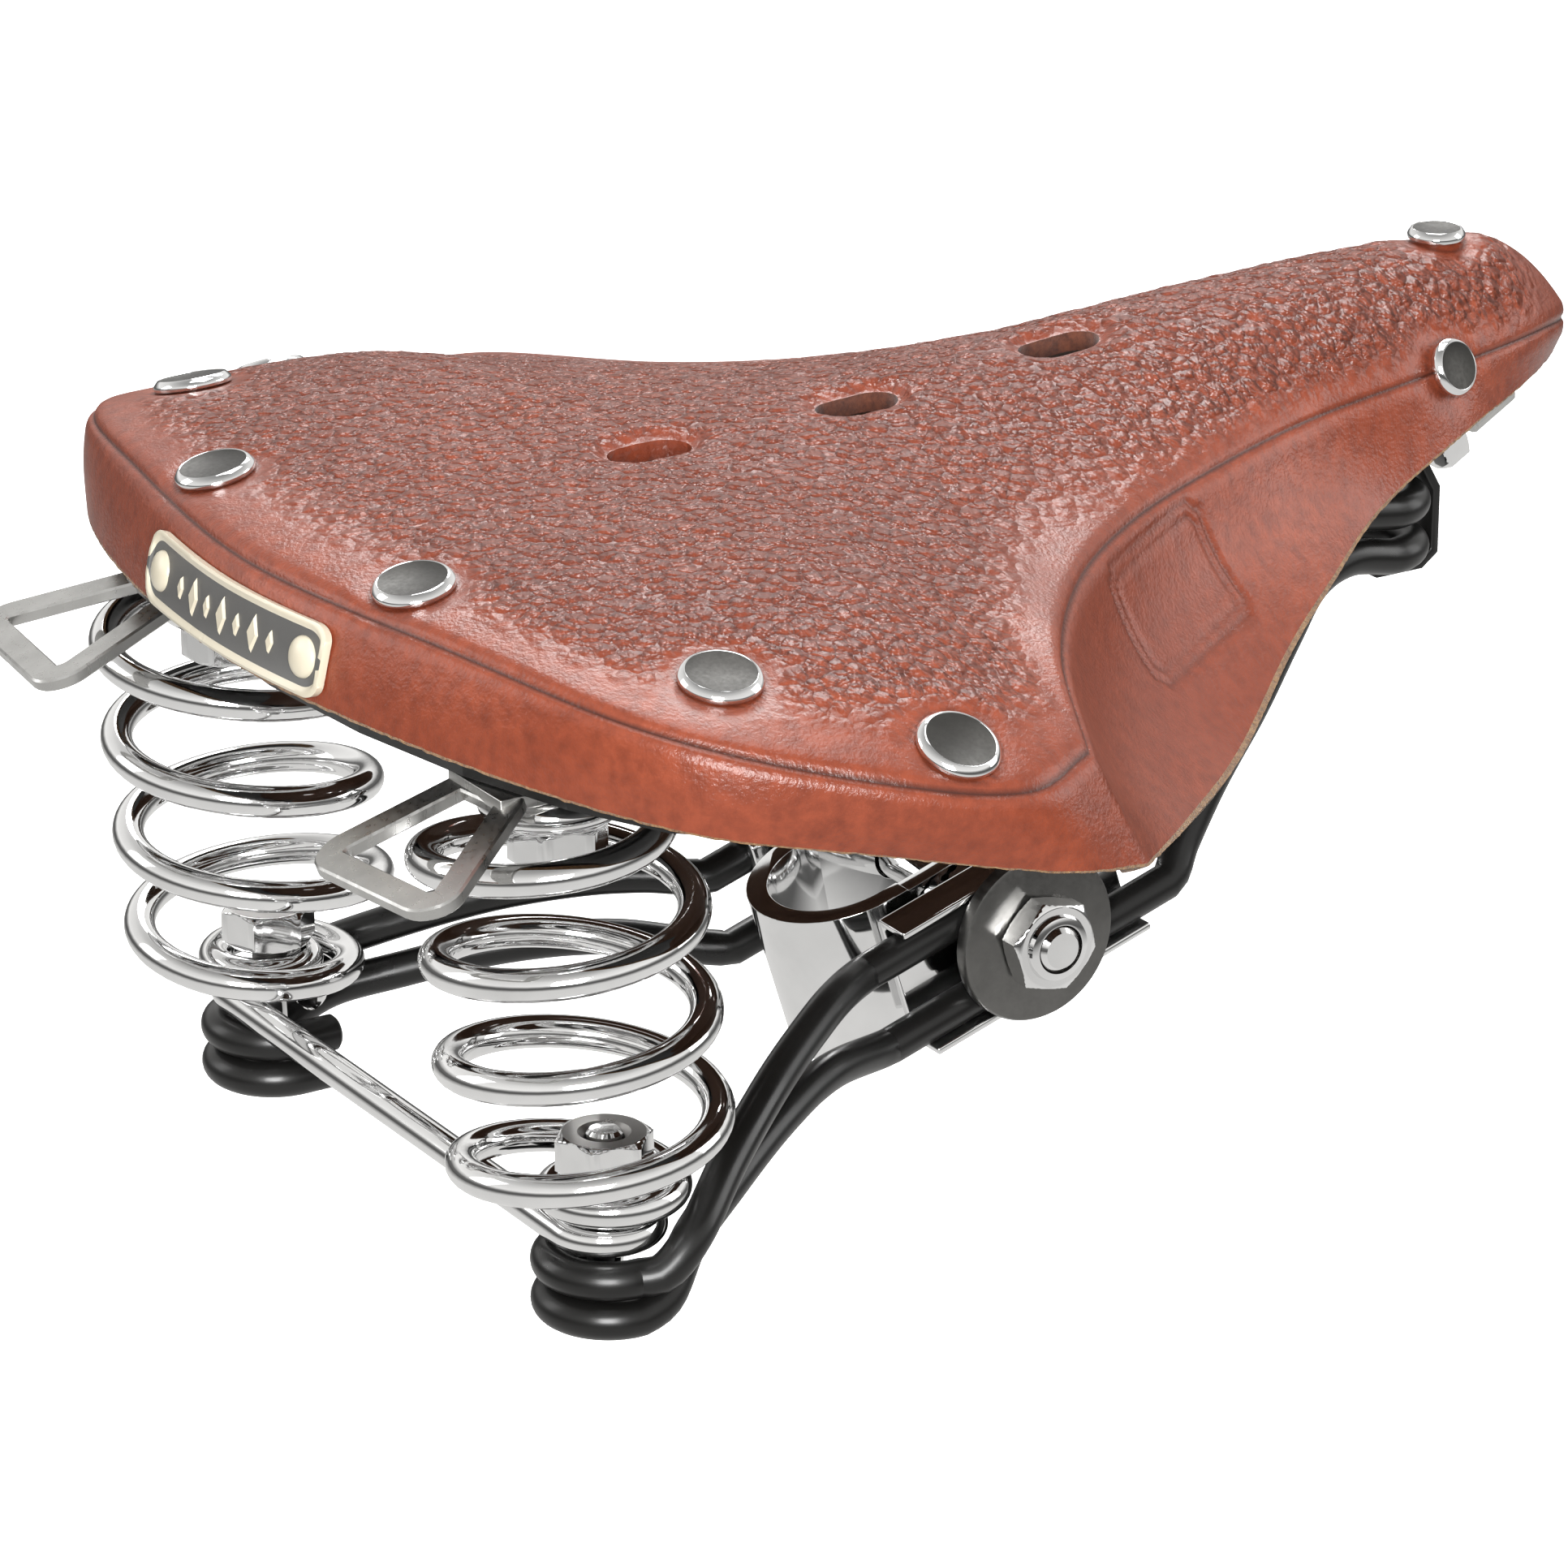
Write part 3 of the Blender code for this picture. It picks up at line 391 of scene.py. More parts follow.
def grid_faces(bm, rows, wrap, looks=None):
    """Faces between rows of vertices; looks[k] is the material of the strip below row k."""
    for k, (one, two) in enumerate(zip(rows, rows[1:])):
        count = len(one)
        for a in range(count if wrap else count - 1):
            b = (a + 1) % count
            four = []
            for vert in (one[a], one[b], two[b], two[a]):
                if vert not in four:
                    four.append(vert)
            if len(four) > 2:
                face = bm.faces.new(four)
                face.material_index = looks[k] if looks else 0


def lathe(name, profile, point, axis, looks, sides=64, side=None, shape=None):
    """A turned piece from (radius, height, material) points, listed from its top to its bottom.
    shape(angle, radius, height) may change each point's radius and height."""
    bm = bmesh.new()
    rows = []
    for radius, height, _ in profile:
        if radius == 0:
            rows.append([bm.verts.new((0, 0, height))] * sides)
            continue
        row = []
        for k in range(sides):
            angle = 2 * math.pi * k / sides
            r, z = shape(angle, radius, height) if shape else (radius, height)
            row.append(bm.verts.new((r * math.cos(angle), r * math.sin(angle), z)))
        rows.append(row)
    grid_faces(bm, rows, True, [p[2] for p in profile])
    bmesh.ops.recalc_face_normals(bm, faces=bm.faces)
    made = piece(name, bm, looks, 30)
    made.matrix_world = frame_at(point, axis, side)
    return settle(made)


def thread(radius, high, low, pitch, deep, look):
    """Profile points of a thread's ridges, from the top down."""
    found = []
    count = int((high - low) / pitch)
    for k in range(count):
        top = high - k * pitch
        found.append((radius, top - pitch * 0.15, look))
        found.append((radius, top - pitch * 0.35, look))
        found.append((radius - deep, top - pitch * 0.7, look))
        found.append((radius - deep, top - pitch * 0.85, look))
    return found


def hex_nut(name, flats, high, hole, point, axis, side=None, collar=0.0):
    """A nut with both ends turned to a cone, a countersunk thread and an optional round collar."""
    corner = flats / math.sqrt(3)
    cone = 0.58                  # height lost for each millimetre of radius

    def hexed(angle, radius, height):
        if radius < flats / 2 - 0.2:
            return radius, height
        sector = (angle + math.pi / 6) % (math.pi / 3) - math.pi / 6
        outer = flats / 2 / math.cos(sector)
        lost = min(height, high - height)
        return min(outer, flats / 2 - 0.15 + lost / cone), height

    edge = (corner - flats / 2 + 0.15) * cone
    levels = [edge * k / 4 for k in range(5)]
    profile = [(hole, high - 0.9, 1), (hole + 0.9, high, 1)]
    profile += [(flats / 2 - 0.3, high, 0)] + [(corner, high - z, 0) for z in levels]
    profile += [(corner, z, 0) for z in reversed(levels)] + [(flats / 2 - 0.3, 0, 0)]
    profile += [(hole + 0.7, 0, 1), (hole, 0.7, 1)]
    profile += [(hole, high - 0.9, 1)]
    if collar:
        ring = [(hole, high + collar, 0), (hole + 0.3, high + collar, 0),
                (hole + 1.1, high + collar - 0.3, 0), (hole + 1.4, high, 0)]
        profile = ring + profile[2:]
        profile[-1] = (hole, high + collar, 1)
    return lathe(name, profile, point, axis, ("chrome", "thread"), 96, side, hexed)


def tube(name, points, radius, looks, sides=24, chamfer=0.5):
    """A round wire through points, with chamfered cut ends."""
    points = [Vector(p) for p in points]
    tangents = []
    for k in range(len(points)):
        tangents.append((points[min(k + 1, len(points) - 1)] - points[max(k - 1, 0)]).normalized())
    across = tangents[0].orthogonal().normalized()
    rings = []
    for point, tangent in zip(points, tangents):
        across = (across - tangent * across.dot(tangent)).normalized()
        rings.append((point, tangent, across.copy()))
    first, last = rings[0], rings[-1]
    stations = [(first[0], first[1], first[2], radius - chamfer)]
    stations += [(first[0] + first[1] * chamfer, first[1], first[2], radius)]
    stations += [(*ring, radius) for ring in rings[1:-1]]
    stations += [(last[0] - last[1] * chamfer, last[1], last[2], radius)]
    stations += [(last[0], last[1], last[2], radius - chamfer)]
    bm = bmesh.new()
    rows = []
    for point, tangent, side, r in stations:
        other = tangent.cross(side)
        row = []
        for k in range(sides):
            angle = 2 * math.pi * k / sides
            row.append(bm.verts.new(point + (side * math.cos(angle) + other * math.sin(angle)) * r))
        rows.append(row)
    grid_faces(bm, rows, True)
    for row in (rows[0], rows[-1]):
        face = bm.faces.new(row)
        face.material_index = len(looks) - 1
    bmesh.ops.recalc_face_normals(bm, faces=bm.faces)
    return piece(name, bm, looks)


def slab(name, outline, low, high, point, axis, look, side=None, bevel=0.4):
    """A flat outline in (side, axis x side), raised from low to high, with its edges rounded."""
    bm = bmesh.new()
    face = bm.faces.new([bm.verts.new((a, b, low)) for a, b in outline])
    raised = bmesh.ops.extrude_face_region(bm, geom=[face])["geom"]
    bmesh.ops.translate(bm, verts=[g for g in raised if isinstance(g, bmesh.types.BMVert)],
                        vec=(0, 0, high - low))
    bmesh.ops.recalc_face_normals(bm, faces=bm.faces)
    made = piece(name, bm, (look,))
    made.matrix_world = frame_at(point, axis, side)
    if bevel:
        soften(made, bevel)
    return made


def soften(made, width):
    step = made.modifiers.new("Rounded edges", "BEVEL")
    step.width = width * MM
    step.segments = 3
    step.limit_method = "ANGLE"
    step.angle_limit = math.radians(40)
    step.harden_normals = False


def carve(made, tool, operation="DIFFERENCE"):
    """Applies a Boolean and removes its tool."""
    step = made.modifiers.new("Cut", "BOOLEAN")
    step.operation = operation
    step.solver = "EXACT"
    step.object = tool
    settle(made)
    bpy.data.objects.remove(tool)
    return made


def rod(radius, low, high, point, axis, sides=48):
    """A plain cylinder to cut with."""
    bm = bmesh.new()
    bmesh.ops.create_cone(bm, cap_ends=True, segments=sides, radius1=radius, radius2=radius,
                          depth=high - low, matrix=Matrix.Translation((0, 0, (high + low) / 2)))
    made = piece("cutting_rod", bm, ())
    made.matrix_world = frame_at(point, axis)
    return made


def curve_value(a, b, c, d, t):
    """Catmull-Rom value between b and c."""
    return 0.5 * (2 * b + (c - a) * t + (2 * a - 5 * b + 4 * c - d) * t ** 2
                  + (3 * b - a - 3 * c + d) * t ** 3)


def smooth(points, steps=12):
    points = [Vector(p) for p in points]
    ends = [points[0] * 2 - points[1]] + points + [points[-1] * 2 - points[-2]]
    found = [curve_value(*four, k / steps) for four in zip(ends, ends[1:], ends[2:], ends[3:])
             for k in range(steps)]
    return found + [points[-1]]


def even(points, spacing):
    """The same path with points about spacing apart."""
    total = sum((b - a).length for a, b in zip(points, points[1:]))
    count = max(2, round(total / spacing))
    found, run, k = [points[0]], 0.0, 1
    for a, b in zip(points, points[1:]):
        length = (b - a).length
        while k < count and run + length >= total * k / count:
            found.append(a.lerp(b, (total * k / count - run) / length))
            k += 1
        run += length
    return found + [points[-1]]


def arc(centre, radius, start, end, steps):
    angles = [math.radians(start + (end - start) * k / steps) for k in range(steps + 1)]
    return [Vector(centre) + Vector((math.cos(a), math.sin(a), 0)) * radius for a in angles]


def flat_arc(centre, radius, start, end, steps):
    return [(p.x, p.y) for p in arc((*centre, 0), radius, start, end, steps)]


def mirrored(points):
    return [Vector((-p[0], p[1], p[2])) for p in points]


# ---------------------------------------------------------------- leather surface

def column_at(column, place):
    values = [row[column] for row in OUTLINE]
    values = [values[1]] + values + [values[-2]]
    k = min(int(place), LAST - 1)
    return curve_value(*values[k:k + 4], place - k)


def edge_at(column, place):
    """The crease or the lower edge, which both break at the rear corner."""
    rows = [Vector(row[column]) for row in OUTLINE]
    rows, start = (rows[:CORNER + 1], 0) if place <= CORNER else (rows[CORNER:], CORNER)
    before, after = rows[0] * 2 - rows[1], rows[-1] * 2 - rows[-2]
    if start:
        after = mirrored([rows[-2]])[0]
    else:
        before = mirrored([rows[1]])[0]
    rows = [before] + rows + [after]
    k = min(int(place - start), len(rows) - 4)
    return curve_value(*rows[k:k + 4], place - start - k)


def crease_run(place, step=0.02):
    """The crease from just before place to just after it."""
    return edge_at(0, min(place + step, LAST)) - edge_at(0, max(place - step, 0))


def centre_height(y):
    ys, zs = zip(*CENTRE_LINE)
    zs = (zs[0], *zs, zs[-1])
    y = min(max(y, ys[0]), ys[-1])
    k = max(i for i in range(len(ys) - 1) if ys[i] <= y)
    return curve_value(*zs[k:k + 4], (y - ys[k]) / (ys[k + 1] - ys[k]))


def leather_point(place, v):
    """The outer surface. place runs along OUTLINE; v is 0 on the centre line, 1 at the crease
    and 2 at the lower edge."""
    crease = edge_at(0, place)
    if v <= 1:
        centre = column_at(2, place)
        top = centre_height(centre)
        drop = v ** column_at(3, place)
        return Vector((v * crease.x, centre + v * (crease.y - centre), top + (crease.z - top) * drop))
    lower = edge_at(1, place)
    inward = crease_run(place).cross(lower - crease).normalized()
    return crease.lerp(lower, v - 1) + inward * column_at(4, place) * math.sin(math.pi * (v - 1))


def leather_normal(place, v):
    least, most = (0, 1) if v <= 1 else (1.001, 2)
    low, high = max(v - 0.02, least), min(v + 0.02, most)
    along = leather_point(min(place + 0.02, LAST), v) - leather_point(max(place - 0.02, 0), v)
    across = leather_point(place, high) - leather_point(place, low)
    if place in (0, LAST):
        along = SIDEWAYS if place == 0 else -SIDEWAYS
    normal = across.cross(along)
    if v == 0:
        normal.x = 0
    return normal.normalized()


def leather_at(x, y):
    """(place, v) of the point of the top surface above (x, y)."""
    if x == 0 and y >= OUTLINE[-1][2]:
        return LAST, (y - OUTLINE[-1][2]) / (OUTLINE[-1][0][1] - OUTLINE[-1][2])
    low, high = 0.0, float(LAST)
    for _ in range(40):
        place = (low + high) / 2
        centre, crease = column_at(2, place), edge_at(0, place)
        if centre + x / max(crease.x, 0.001) * (crease.y - centre) < y:
            low = place
        else:
            high = place
    return place, x / crease.x


def skirt_at(x, v):
    low, high = 0.0, 2.0
    for _ in range(30):
        place = (low + high) / 2
        low, high = (place, high) if leather_point(place, v).x < x else (low, place)
    return place


def rivet_spots():
    """(CAD node, body, point, normal, radius) of every rivet through the leather."""
    found = []
    for number, (x, y) in enumerate(REAR_RIVETS):
        place, v = leather_at(x, y)
        found.append((f"rear_rivet_{number + 1}", "top", leather_point(place, v),
                      leather_normal(place, v), RIVET_R))
    normal = leather_normal(NOSE_SIDE_RIVET, 1) + leather_normal(NOSE_SIDE_RIVET, 1.05)
    normal.normalize()
    point = edge_at(0, NOSE_SIDE_RIVET) + normal * GAP
    found.append(("nose_rivet", "nose", point, normal, NOSE_RIVET_R))
    spots = []
    for name, body, point, normal, radius in found:
        spots.append((f"{name}_right", body, point, normal, radius))
        spots.append((f"{name}_left", body, mirrored([point])[0], mirrored([normal])[0], radius))
    place, v = leather_at(*NOSE_TOP_RIVET)
    point, normal = leather_point(place, v), leather_normal(place, v)
    spots.append(("nose_rivet_top", "nose", point, normal, NOSE_RIVET_R))
    return spots


def ease(share):
    share = min(max(share, 0.0), 1.0)
    return share * share * (3 - 2 * share)


def soft_steps(values):
    """ease() for an array."""
    values = np.clip(values, 0, 1)
    return values * values * (3 - 2 * values)


# ---------------------------------------------------------------- leather cover

FINE, FINER = 1.0, 0.5          # mm between the cover's columns, and beside the embossed outline
TOP_ROWS, SKIRT_ROWS, INNER_ROWS = 105, 40, 18
ROUNDING = 4.2                  # mm of corner that is rounded off on each side of the crease
GROOVE_DEEP, GROOVE_WIDE = 0.4, 0.6
GRAIN_DEEP = 0.22
GRAIN_SEED = 7


def cover_places():
    """Places along the outline, closer together beside the embossed outline."""
    found, place = [0.0], 0.0
    while place < LAST:
        step = FINER if abs(place - SHIELD_PLACE) < 0.75 else FINE
        reach = crease_run(place, 0.01).length / 0.02
        place += step / max(reach, 6)
        found.append(min(place, LAST))
    return found


def outer_grid(places, vs):
    grid = np.zeros((len(places), len(vs), 3))
    for i, place in enumerate(places):
        crease, lower = edge_at(0, place), edge_at(1, place)
        inward = crease_run(place).cross(lower - crease).normalized()
        centre, power, hollow = (column_at(column, place) for column in (2, 3, 4))
        top = centre_height(centre)
        t = vs[vs <= 1]
        grid[i, vs <= 1, 0] = t * crease.x
        grid[i, vs <= 1, 1] = centre + t * (crease.y - centre)
        grid[i, vs <= 1, 2] = top + (crease.z - top) * t ** power
        t = vs[vs > 1] - 1
        down = np.outer(1 - t, crease) + np.outer(t, lower)
        grid[i, vs > 1] = down + np.outer(np.sin(math.pi * t) * hollow, inward)
    return grid


def mirror_grid(grid):
    """The grid's columns, then the left side's, so that they close round the saddle."""
    left = grid[-2:0:-1].copy()
    left[..., 0] *= -1
    return np.concatenate((grid, left))


def run_down(grid):
    """How far each point lies from the centre line, down its column."""
    steps = np.linalg.norm(np.diff(grid, axis=1), axis=2)
    return np.concatenate((np.zeros((len(grid), 1)), np.cumsum(steps, axis=1)), axis=1)


def rounded(grid):
    """Rounds the corner at the crease by averaging along each column."""
    along = run_down(grid)
    found = grid.copy()
    for i in range(len(grid)):
        from_crease = along[i] - along[i, TOP_ROWS]
        reach = ROUNDING * np.clip(1 - np.abs(from_crease) / (3 * ROUNDING), 0, 1)
        limit = np.minimum(reach, np.minimum(along[i], along[i, -1] - along[i]))
        total = np.zeros_like(grid[i])
        offsets = np.linspace(-1, 1, 9)
        for offset in offsets:
            at = along[i] + offset * limit
            total += np.stack([np.interp(at, along[i], grid[i, :, axis]) for axis in range(3)], 1)
        found[i] = total / len(offsets)
    return found


def grid_normals(grid):
    along = np.roll(grid, -1, axis=0) - np.roll(grid, 1, axis=0)
    across = np.gradient(grid, axis=1)
    normals = np.cross(across, along)
    length = np.linalg.norm(normals, axis=2, keepdims=True)
    normals /= np.maximum(length, 1e-9)
    normals[:, 0] = normals[:, 1]
    return normals


def shield_distance(a, b):
    """Distance to a plain shield's outline, from its own centre; a runs forwards, b down."""
    wide, tall, bite = 15.5, 9.5, 2.6
    x, y = abs(a), abs(b)
    boxed = max(x - wide, y - tall)
    notch = bite - math.hypot(x - wide - 0.6, y - tall - 0.4)
    return max(boxed, notch)


def cover_depths(grid, places):
    """How far each point moves along its normal, its share of grain, and its share of dark line."""
    along = run_down(grid)
    from_crease = along - along[:, TOP_ROWS:TOP_ROWS + 1]
    place_of = np.array(list(places) + list(places[-2:0:-1]))

    broad = 1 - soft_steps((from_crease + 22) / 16)
    narrow = 1 - soft_steps((from_crease + 9) / 8)
    ahead_of_flank = soft_steps((place_of - 7.0) / 2.5)[:, None]
    grain = broad * (1 - ahead_of_flank) + narrow * ahead_of_flank
    nose = soft_steps((grid[..., 1] - 108) / 14)
    grain *= 1 - nose
    depth = -GROOVE_DEEP * np.exp(-(from_crease / GROOVE_WIDE) ** 2)
    line = np.exp(-(from_crease / (GROOVE_WIDE * 0.55)) ** 2)

    for _, _, point, _, radius in rivet_spots():
        away = np.linalg.norm(grid - np.array(point), axis=2)
        depth -= 0.55 * np.exp(-np.maximum(away - radius, 0) ** 2 / 6) * (away < radius + 9)
        grain *= soft_steps((away - radius - 0.6) / 5)
        line = np.maximum(line, 0.6 * np.exp(-((away - radius - 0.1) / 0.45) ** 2))
    for y in SLOT_YS:
        straight = (SLOT_LONG - SLOT_WIDE) / 2
        beyond = np.maximum(np.abs(grid[..., 1] - y) - straight, 0)
        away = np.hypot(grid[..., 0], beyond) - SLOT_WIDE / 2
        near = (away < 6) & (from_crease < -10)
        depth -= np.where(near, 1.5 * np.exp(-np.maximum(away, 0) ** 2 / 3.2), 0)
        grain *= np.where(near, soft_steps((away - 0.2) / 3.5) * 0.8 + 0.2, 1)

    centre = np.array(leather_point(SHIELD_PLACE, SHIELD_V))
    ahead = np.array(crease_run(SHIELD_PLACE, 0.3))
    ahead /= np.linalg.norm(ahead)
    down = np.array(edge_at(1, SHIELD_PLACE) - edge_at(0, SHIELD_PLACE))
    down -= ahead * (down @ ahead)
    down /= np.linalg.norm(down)
    for sign in (1, -1):
        local = (grid * np.array((sign, 1, 1))) - centre
        near = (np.linalg.norm(local, axis=2) < 24) & (from_crease > 0.5) & (grid[..., 0] * sign > 0)
        for i, j in np.argwhere(near):
            away = shield_distance(local[i, j] @ ahead, local[i, j] @ down)
            ring = math.exp(-(away / 0.55) ** 2) + 0.7 * math.exp(-((away + 1.9) / 0.5) ** 2)
            depth[i, j] -= 0.55 * ring
            line[i, j] = max(line[i, j], 0.4 * ring)
    return depth, grain, line


def grain_height(x, y, z):
    """Pebbles a few millimetres across, with creases between them."""
    where = Vector((x, y, z)) * 0.33
    where += noise.noise_vector(where * 0.8) * 0.45
    distances, _ = noise.voronoi(where)
    gap = min((distances[1] - distances[0]) * 2.2, 1.0)
    return gap - 0.6 + 0.35 * noise.noise(where * 2.3)


def seam(bm, points, count):
    """One row of vertices on the centre line, which the right and left columns share."""
    right = [bm.verts.new(p) for p in points[:count]]
    return right + right[-2:0:-1]


def make_cover():
    """The tensioned leather, with its groove, raw edge, vents, pressed outline and grain."""
    noise.seed_set(GRAIN_SEED)      # noise_vector takes its offsets from the clock without it
    vs = np.concatenate((np.linspace(0, 1, TOP_ROWS + 1), 1 + np.linspace(0, 1, SKIRT_ROWS + 1)[1:]))
    places = cover_places()
    grid = rounded(mirror_grid(outer_grid(places, vs)))
    normals = grid_normals(grid)
    depth, grain, line = cover_depths(grid, places)
    outer = grid + normals * depth[..., None]
    for i, j in np.argwhere(grain > 0.02):
        outer[i, j] += normals[i, j] * GRAIN_DEEP * grain[i, j] * grain_height(*grid[i, j])
    for i in range(len(outer)):
        ragged = noise.noise(Vector(outer[i, -1]) * 1.7) * 0.22
        outer[i, -1, 2] += ragged
        outer[i, -2, 2] += ragged * 0.5

    picks = np.unique(np.round(np.linspace(0, len(vs) - 1, INNER_ROWS)).astype(int))
    inner = grid[:, picks] - normals[:, picks] * LEATHER_THICK
    bm = bmesh.new()
    outer[:, 0, 0] = 0
    inner[:, 0, 0] = 0
    rows = [[bm.verts.new(p) for p in outer[:, j]] for j in range(1, outer.shape[1])]
    rows.insert(0, seam(bm, outer[:, 0], len(places)))
    lip = grid[:, -1] - normals[:, -1] * (LEATHER_THICK / 2)
    lip[:, 2] -= 0.25
    edge_row = [bm.verts.new(p) for p in lip]
    inner_rows = [[bm.verts.new(p) for p in inner[:, j]] for j in range(1, inner.shape[1])]
    inner_rows.insert(0, seam(bm, inner[:, 0], len(places)))
    inner_rows.reverse()
    every = rows + [edge_row] + inner_rows
    looks = [0] * (len(rows) - 2) + [1] * 3 + [2] * (len(inner_rows) - 1)
    grid_faces(bm, every, True, looks)
    bmesh.ops.recalc_face_normals(bm, faces=bm.faces)
    # the inner face takes the painted-shade underside colour
    cover = piece("leather_cover", bm, ("leather", "raw_edge", "shaded_flesh"), 60)
    for y in SLOT_YS:
        straight = (SLOT_LONG - SLOT_WIDE) / 2
        outline = (flat_arc((0, y + straight), SLOT_WIDE / 2, 0, 180, 20)
                   + flat_arc((0, y - straight), SLOT_WIDE / 2, 180, 360, 20))
        # the tool carries the painted-shade wall colour onto the vents
        tool = slab("slot_tool", outline, 70, 105, (0, 0, 0), RISE, "shaded_slot_wall", SIDEWAYS, 0)
        step = cover.modifiers.new("Slot", "BOOLEAN")
        step.solver = "MANIFOLD"
        step.object = tool
        settle(cover)
        bpy.data.objects.remove(tool)

    tree = kdtree.KDTree(outer.shape[0] * outer.shape[1])
    flat = outer.reshape(-1, 3)
    for index, point in enumerate(flat):
        tree.insert(point, index)
    tree.balance()
    shares = {"grain": grain.ravel(), "line": np.clip(line, 0, 1).ravel()}
    nearest = [tree.find(vert.co / MM)[1] for vert in cover.data.vertices]
    for name, values in shares.items():
        attribute = cover.data.attributes.new(name, "FLOAT", "POINT")
        attribute.data.foreach_set("value", values[nearest].astype(np.float32))
    cover.data.shade_smooth()
    cover.data.set_sharp_from_angle(angle=math.radians(60))
    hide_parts("leather_top")
    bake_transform(cover)
    return cover


# ---------------------------------------------------------------- rivets and badge

def make_rivets():
    """Flat heads with a bright bevel round a dull turned face."""
    for name, body, point, normal, radius in rivet_spots():
        bevel = radius * 0.16
        profile = [(0, 1.15, 1), (radius - bevel - 0.12, 1.15, 0), (radius - bevel, 1.22, 0),
                   (radius - bevel * 0.75, 1.12, 0), (radius - 0.1, 0.45, 0), (radius, 0.15, 0),
                   (radius - 0.1, -0.35, 0), (2.5, -0.4, 0), (2.5, -6.3, 0), (0, -6.3, 0)]
        made = lathe(f"{name}_head", profile, point, normal, ("chrome", "rivet_face"), 72)
        belongs(made, body, "rivet_steel", name)


def badge_row(x, half, lift):
    """Points down the badge at x from the middle: (position down, lift off the leather)."""
    place = skirt_at(abs(x), BADGE_MIDDLE) if x else 0.0
    found = []
    for down, high in zip(half, lift):
        v = BADGE_MIDDLE + down
        point = leather_point(place, v) + leather_normal(place, v) * high
        point.x = math.copysign(point.x, x)
        found.append(point)
    return found


def badge_reach(x, inset, corner=0.16):
    """Half the badge's height at x, in v, with round corners and drawn in by inset mm."""
    end = BADGE_HALF - inset
    over = max(0.0, (abs(x) - end + 3.2) / 3.2)
    if over > 1:
        return 0.0
    return BADGE_REACH - inset / 14.7 - corner * (1 - math.sqrt(1 - over ** 2))


def make_badge():
    """A curved plate: cream rim, dark field, a plain row of cream lozenges and two domed rivets."""
    bm = bmesh.new()
    xs = [BADGE_HALF * math.sin(math.pi / 2 * k / 40) for k in range(-40, 41)]
    border = 0.8
    rows = []
    for x in xs:
        reach = badge_reach(x, 0)
        field = badge_reach(x, border)
        rim = [-reach, -reach, -(reach + field) / 2, -field, -field + 0.03]
        lift = [GAP, 1.45, 1.6, 1.45, 1.15]
        if field <= 0.03:
            rim = [-reach, -reach, -reach * 0.6, -reach * 0.4, -reach * 0.2]
            lift = [GAP, 1.45, 1.6, 1.6, 1.6]
        half = rim + [0] + [-r for r in reversed(rim)]
        lift = lift + [lift[-1]] + list(reversed(lift))
        rows.append([bm.verts.new(p) for p in badge_row(x, half, lift)])
    for one, two in zip(rows, rows[1:]):
        for k in range(len(one)):
            after = (k + 1) % len(one)
            face = bm.faces.new((one[k], one[after], two[after], two[k]))
            face.material_index = 1 if k in (4, 5) else 0
    for row in (rows[0], rows[-1]):
        bm.faces.new(row)
    bmesh.ops.remove_doubles(bm, verts=bm.verts, dist=0.01)
    bmesh.ops.dissolve_degenerate(bm, dist=0.005, edges=bm.edges)
    bmesh.ops.recalc_face_normals(bm, faces=bm.faces)
    plate = piece("badge_shield", bm, ("cream", "field"), 40)
    belongs(plate, "top", "badge_plate", "badge_plate")
    for number in range(-3, 4):
        centre = number * 4.4
        tall, wide = (0.2, 1.5) if number % 2 == 0 else (0.12, 0.9)
        bm = bmesh.new()
        sides = []
        for x, v in ((wide, 0), (0, tall), (-wide, 0), (0, -tall)):
            sides.append(Vector((x, v)))
        lower, upper = [], []
        for spot in sides:
            for inward, high, row in ((1.0, 1.0, lower), (0.7, 1.5, upper)):
                point = badge_row(centre + spot.x * inward or 0.001, [spot.y * inward], [high])[0]
                row.append(bm.verts.new(point))
        grid_faces(bm, [lower, upper], True)
        bm.faces.new(upper)
        bm.faces.new(list(reversed(lower)))
        bmesh.ops.recalc_face_normals(bm, faces=bm.faces)
        belongs(piece(f"badge_lozenge_{number + 4}", bm, ("cream",)), "top", "badge_rivet")
    place = skirt_at(BADGE_RIVET_X, BADGE_MIDDLE)
    point, normal = leather_point(place, BADGE_MIDDLE), leather_normal(place, BADGE_MIDDLE)
    dome = [(3.0 * math.sin(a), 1.0 + 1.3 * math.cos(a), 0) for a in np.linspace(0, math.pi / 2, 9)]
    profile = [(0, dome[0][1], 0)] + dome[1:] + [(2.9, 0.9, 0), (1.6, 0.9, 0), (1.6, -6.9, 0), (0, -6.9, 0)]
    for name, spot, facing in (("right", point, normal),
                               ("left", mirrored([point])[0], mirrored([normal])[0])):
        made = lathe(f"badge_dome_{name}", profile, spot, facing, ("cream",), 40)
        belongs(made, "top", "badge_rivet", f"badge_rivet_{name}")


# ---------------------------------------------------------------- wires and springs

def rail_end(along, above):
    return CLAMP_BOLT + FORWARD * along + UPWARD * above + SIDEWAYS * RAIL_X


